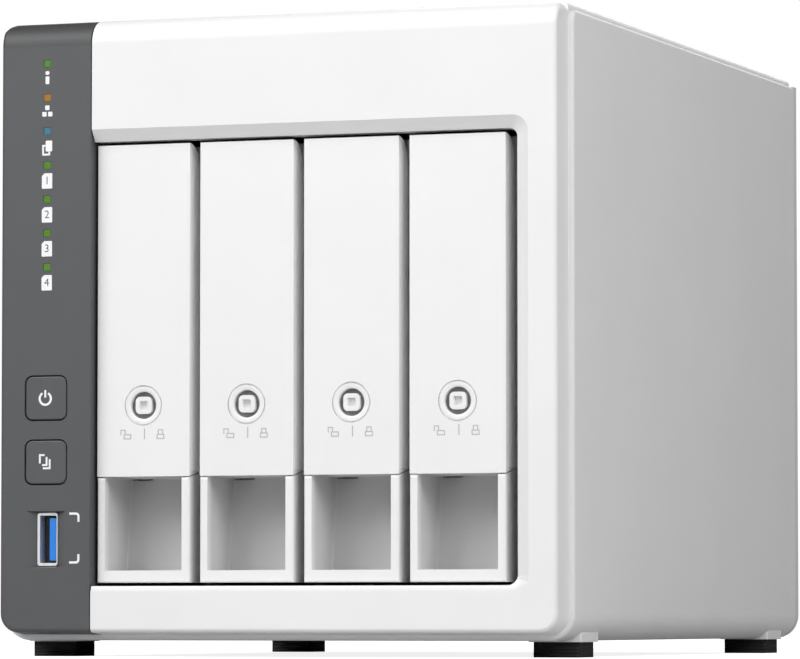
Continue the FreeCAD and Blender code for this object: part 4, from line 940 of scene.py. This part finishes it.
def makeKeyMarks():
    y = frontFace + keySizes["set"]
    c = centreOf("power_button")
    ring = joinParts(ringMark((c.x - 0.2, c.z - 0.15), 1.62, 0.6, y, 62),
                     patchMark(c.x - 0.2, c.z + 1.125, 0.56, 2.05, 0.15, y))
    finishMark(ring, "power_symbol", "power_button", whiteInk)
    c = centreOf("copy_button")
    x, z = c.x - 0.25, c.z + 0.1
    pages = joinParts(
        lineMark([(x - 1.45, z - 0.15), (x - 1.45, z + 1.8), (x - 0.35, z + 1.8)], 0.5, y),
        lineMark([(x + 0.5, z + 1.05), (x + 0.5, z - 0.85), (x - 0.55, z - 0.85)], 0.5, y),
        lineMark([(x + 1.4, z + 0.45), (x + 1.4, z - 1.7), (x - 0.3, z - 1.7)], 0.5, y))
    finishMark(pages, "copy_symbol", "copy_button", whiteInk)


lockMarks = {"low": 57.4, "stroke": 0.26, "barAt": 0.4, "barTall": 2.6, "wide": 1.9, "body": 1.1,
             "loop": 1.2, "shackle": 1.2, "closedAt": 4.95, "openAt": -4.5, "openShift": -1.25}


def padlockMark(x, y, shift):
    # a box under an arch; the arch stands to one side when the lock is open
    s = lockMarks
    low, grow = s["low"], s["stroke"] / 2
    half, mouth = s["wide"] / 2, s["loop"] / 2
    top = low + s["body"]
    base = lineMark([(x - half, low), (x + half, low), (x + half, top), (x - half, top)],
                    s["stroke"], y, True)
    arch = lineMark([(x + shift - mouth, top), (x + shift - mouth, top + s["shackle"]),
                     (x + shift + mouth, top + s["shackle"]), (x + shift + mouth, top + grow)],
                    s["stroke"], y)
    return combine(base, arch, "UNION")


def makeLockMarks():
    s = lockMarks
    y = boxOf("tray_1_handle")[0].y
    for i in range(trayCount):
        x = trayCentre(i)
        bar = lineMark([(x + s["barAt"], s["low"]), (x + s["barAt"], s["low"] + s["barTall"])],
                       s["stroke"], y)
        marks = joinParts(padlockMark(x + s["closedAt"], y, 0),
                          padlockMark(x + s["openAt"], y, s["openShift"]), bar)
        finishMark(marks, f"tray_{i + 1}_symbols", f"handle_{i + 1}", greyInk)


# ---- sockets ----

socketSizes = {"wall": 0.75, "thinWall": 0.3, "liner": 3.2, "tongueEdge": 0.35}


def makeFrontSocket():
    # steel shell with its thicker rolled edge to the left, black body behind, tongue to the right
    s = socketSizes
    low, high = boxOf("front_usb_shell")
    outer = prism(rectangle(low.x, low.z, high.x, high.z, 0.7), "front", low.y, high.y, 3)
    inner = prism(rectangle(low.x + s["wall"], low.z + s["wall"], high.x - s["thinWall"],
                            high.z - s["wall"], 0.3), "front", low.y - 1, high.y - 0.5, 3)
    finishPiece(cutAway(outer, inner), "front_socket_shell", "root", brightNickel,
                ["front_usb_shell"], 0.14, 3)
    body = prism(rectangle(low.x + s["wall"] + 0.02, low.z + s["wall"] + 0.02,
                           high.x - s["thinWall"] - 0.02, high.z - s["wall"] - 0.02),
                 "front", low.y + s["liner"], high.y - 0.6)
    finishPiece(body, "front_socket_body", "root", blackAbs, [], 0.1)
    low, high = boxOf("front_usb_tongue")
    tongue = prism(rectangle(low.x + 0.2, low.z, high.x + 0.15, high.z, 0.3), "front", low.y,
                   high.y, 3)
    finishPiece(tongue, "front_socket_tongue", "root", blueNylon,
                ["front_usb_tongue"], s["tongueEdge"], 3)


# ---- pieces kept from the frame ----

keptLooks = {
    "front_board": boardMask, "drive_cage": zincSheet, "tray_guides": blackAbs,
    "backplane": boardMask, "drive_sockets": blackAbs, "board_bracket": zincSheet,
    "board_posts": nickelPlate, "mainboard": boardMask, "board_chips": chipEpoxy,
    "heat_sink": extrudedAluminium, "coin_cell": nickelPlate, "rear_usb_tongues": blueNylon,
    "reset_switch": blackAbs,
}
softPieces = {
    "rear_panel": ("back_panel", "root", "rear_sheet", powderCoat, 0.25),
    "fan_frame": ("fan_housing", "root", "black_plastic", blackAbs, 0.5),
    "fan_rotor": ("fan_blades", "fan_rotor", "black_plastic", blackAbs, 0.4),
    "fan_screws": ("fan_screw_heads", "root", "screw_steel", nickelPlate, 0.25),
    "cover_screws": ("cover_screw_heads", "root", "screw_steel", nickelPlate, 0.25),
    "lan_sockets": ("network_sockets", "root", "socket_steel", nickelPlate, 0.2),
    "rear_usb_shells": ("back_socket_shells", "root", "socket_steel", nickelPlate, 0.12),
    "power_jack": ("power_inlet", "root", "black_plastic", blackAbs, 0.2),
    "reset_button": ("reset_key", "reset_button", "black_plastic", blackAbs, 0.2),
}
for tray in range(1, trayCount + 1):
    softPieces[f"drive_{tray}_case"] = (f"drive_{tray}_casting", f"tray_{tray}", "cast_aluminium",
                                        castAluminium, 0.5)


def softCopy(node):
    # the part's own shape with its edges taken off
    name, body, slotName, material, edge = softPieces[node]
    bm = bmesh.new()
    bm.from_mesh(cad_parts[node].data)
    bmesh.ops.scale(bm, verts=bm.verts, vec=(1 / metre, 1 / metre, 1 / metre))
    bmesh.ops.remove_doubles(bm, verts=bm.verts, dist=0.005)
    bmesh.ops.dissolve_limit(bm, angle_limit=math.radians(1), verts=bm.verts, edges=bm.edges)
    finishPiece(bm, name, body, material, [node], edge, 2, 40)


contactSizes = {"count": 8, "pitch": 1.02, "wide": 0.5, "thick": 0.25, "long": 8, "set": 3}


def makeContacts():
    # gilt spring contacts inside the two network sockets
    s = contactSizes
    low, high = boxOf("lan_sockets")
    strips = []
    for centre in (low.z + 8, high.z - 8):
        for i in range(s["count"]):
            z = centre + (i - (s["count"] - 1) / 2) * s["pitch"]
            x = high.x - 1.4 - s["thick"]
            strips.append(prism(rectangle(x, z - s["wide"] / 2, x + s["thick"] + 0.1,
                                          z + s["wide"] / 2), "front",
                                high.y - s["set"] - s["long"], high.y - s["set"]))
    finishPiece(joinParts(*strips), "network_contacts", "root", giltContact, [], 0)


def dressKept():
    for name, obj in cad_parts.items():
        kind = name.split("_")
        if kind[0] == "drive" and kind[-1] == "board":
            look = boardMask
        elif kind[-1] == "pin":
            look = nickelPlate
        else:
            look = keptLooks.get(name)
        if look:
            obj.data.materials.clear()
            obj.data.materials.append(look)


# ---- studio ----

studio = {
    "camera": (0.4877, -1.3349, 0.0106), "tilt": 93.244, "turn": 20.262, "lens": 227.9,
    "floor": 1.5, "floorColour": "#C4C4C4", "floorGlow": 0.85, "world": 0.03,
    "lights": {
        "top": {"at": (0.0, -0.35, 1.5), "aim": (0, 0, 0.1), "size": 1.6, "power": 2.5},
        "keyLeft": {"at": (-0.7, -0.95, 1.0), "aim": (0, 0, 0.1), "size": 0.9, "power": 14.2},
        "keyMid": {"at": (-0.6, -1.7, 0.9), "aim": (0, 0, 0.1), "size": 1.1, "power": 3},
        "rightHigh": {"at": (0.9, -0.72, 0.72), "aim": (0, 0, 0.08), "size": 0.8, "power": 9.7},
        "behind": {"at": (-0.15, 1.5, 0.9), "aim": (0, 0.1, 0.08), "size": 1.0, "power": 9},
    },
}


def makeFloor():
    # pale sheet of card: the view sees it near white, and it throws back softer light
    bm = bmesh.new()
    bmesh.ops.create_circle(bm, cap_ends=True, segments=96, radius=studio["floor"])
    floor = linked(meshFrom(bm, "floor"), "floor")
    material, tree, shader, place = newMaterial("pale studio card")
    shader.inputs["Base Color"].default_value = linear(studio["floorColour"])
    shader.inputs["Roughness"].default_value = 0.95
    shader.inputs["Emission Color"].default_value = (1, 1, 1, 1)
    seen = addNode(tree, "ShaderNodeLightPath").outputs["Is Camera Ray"]
    glow = addNode(tree, "ShaderNodeMath", {"operation": "MULTIPLY"})
    glow.inputs[1].default_value = studio["floorGlow"]
    tree.links.new(seen, glow.inputs[0])
    tree.links.new(glow.outputs["Value"], shader.inputs["Emission Strength"])
    floor.data.materials.append(material)


def makeWorld():
    world = bpy.data.worlds.new("studio")
    scene.world = world
    world.use_nodes = True
    tree = world.node_tree
    tree.nodes.clear()
    seen = addNode(tree, "ShaderNodeLightPath").outputs["Is Camera Ray"]
    strength = addNode(tree, "ShaderNodeMapRange", {"To Min": studio["world"], "To Max": 1.0},
                       {"Value": seen})
    glow = addNode(tree, "ShaderNodeBackground", {"Color": (1, 1, 1, 1)},
                   {"Strength": strength.outputs["Result"]})
    addNode(tree, "ShaderNodeOutputWorld", links={"Surface": glow.outputs["Background"]})


def makeStudio():
    camera = bpy.data.cameras.new("camera")
    camera.lens = studio["lens"]
    camera.sensor_width = 36
    camera.clip_start = 0.02
    obj = bpy.data.objects.new("camera", camera)
    obj.location = studio["camera"]
    obj.rotation_euler = (math.radians(studio["tilt"]), 0, math.radians(studio["turn"]))
    scene.collection.objects.link(obj)
    scene.camera = obj
    makeFloor()
    makeWorld()
    for name, light in studio["lights"].items():
        lamp = bpy.data.lights.new(name, "AREA")
        lamp.shape = "SQUARE"
        lamp.size = light["size"]
        lamp.energy = light["power"]
        lampObj = bpy.data.objects.new(name, lamp)
        lampObj.location = light["at"]
        aim = Vector(light["aim"]) - Vector(light["at"])
        lampObj.rotation_euler = aim.to_track_quat("-Z", "Y").to_euler()
        scene.collection.objects.link(lampObj)


makeStudio()
print("studio ready")
makeCover()
makeFeet()
makeBase()
print("casing ready")
makeBezel()
makePanel()
makeLamps()
for keyName in ("power_button", "copy_button"):
    makeKey(keyName)
makeFrontSocket()
print("front ready")
makeTrays()
print("trays ready")
makePanelMarks()
makeSocketMarks()
makeKeyMarks()
makeLockMarks()
print("marks ready")
for nodeName in softPieces:
    softCopy(nodeName)
makeContacts()
print("back ready")
dressKept()
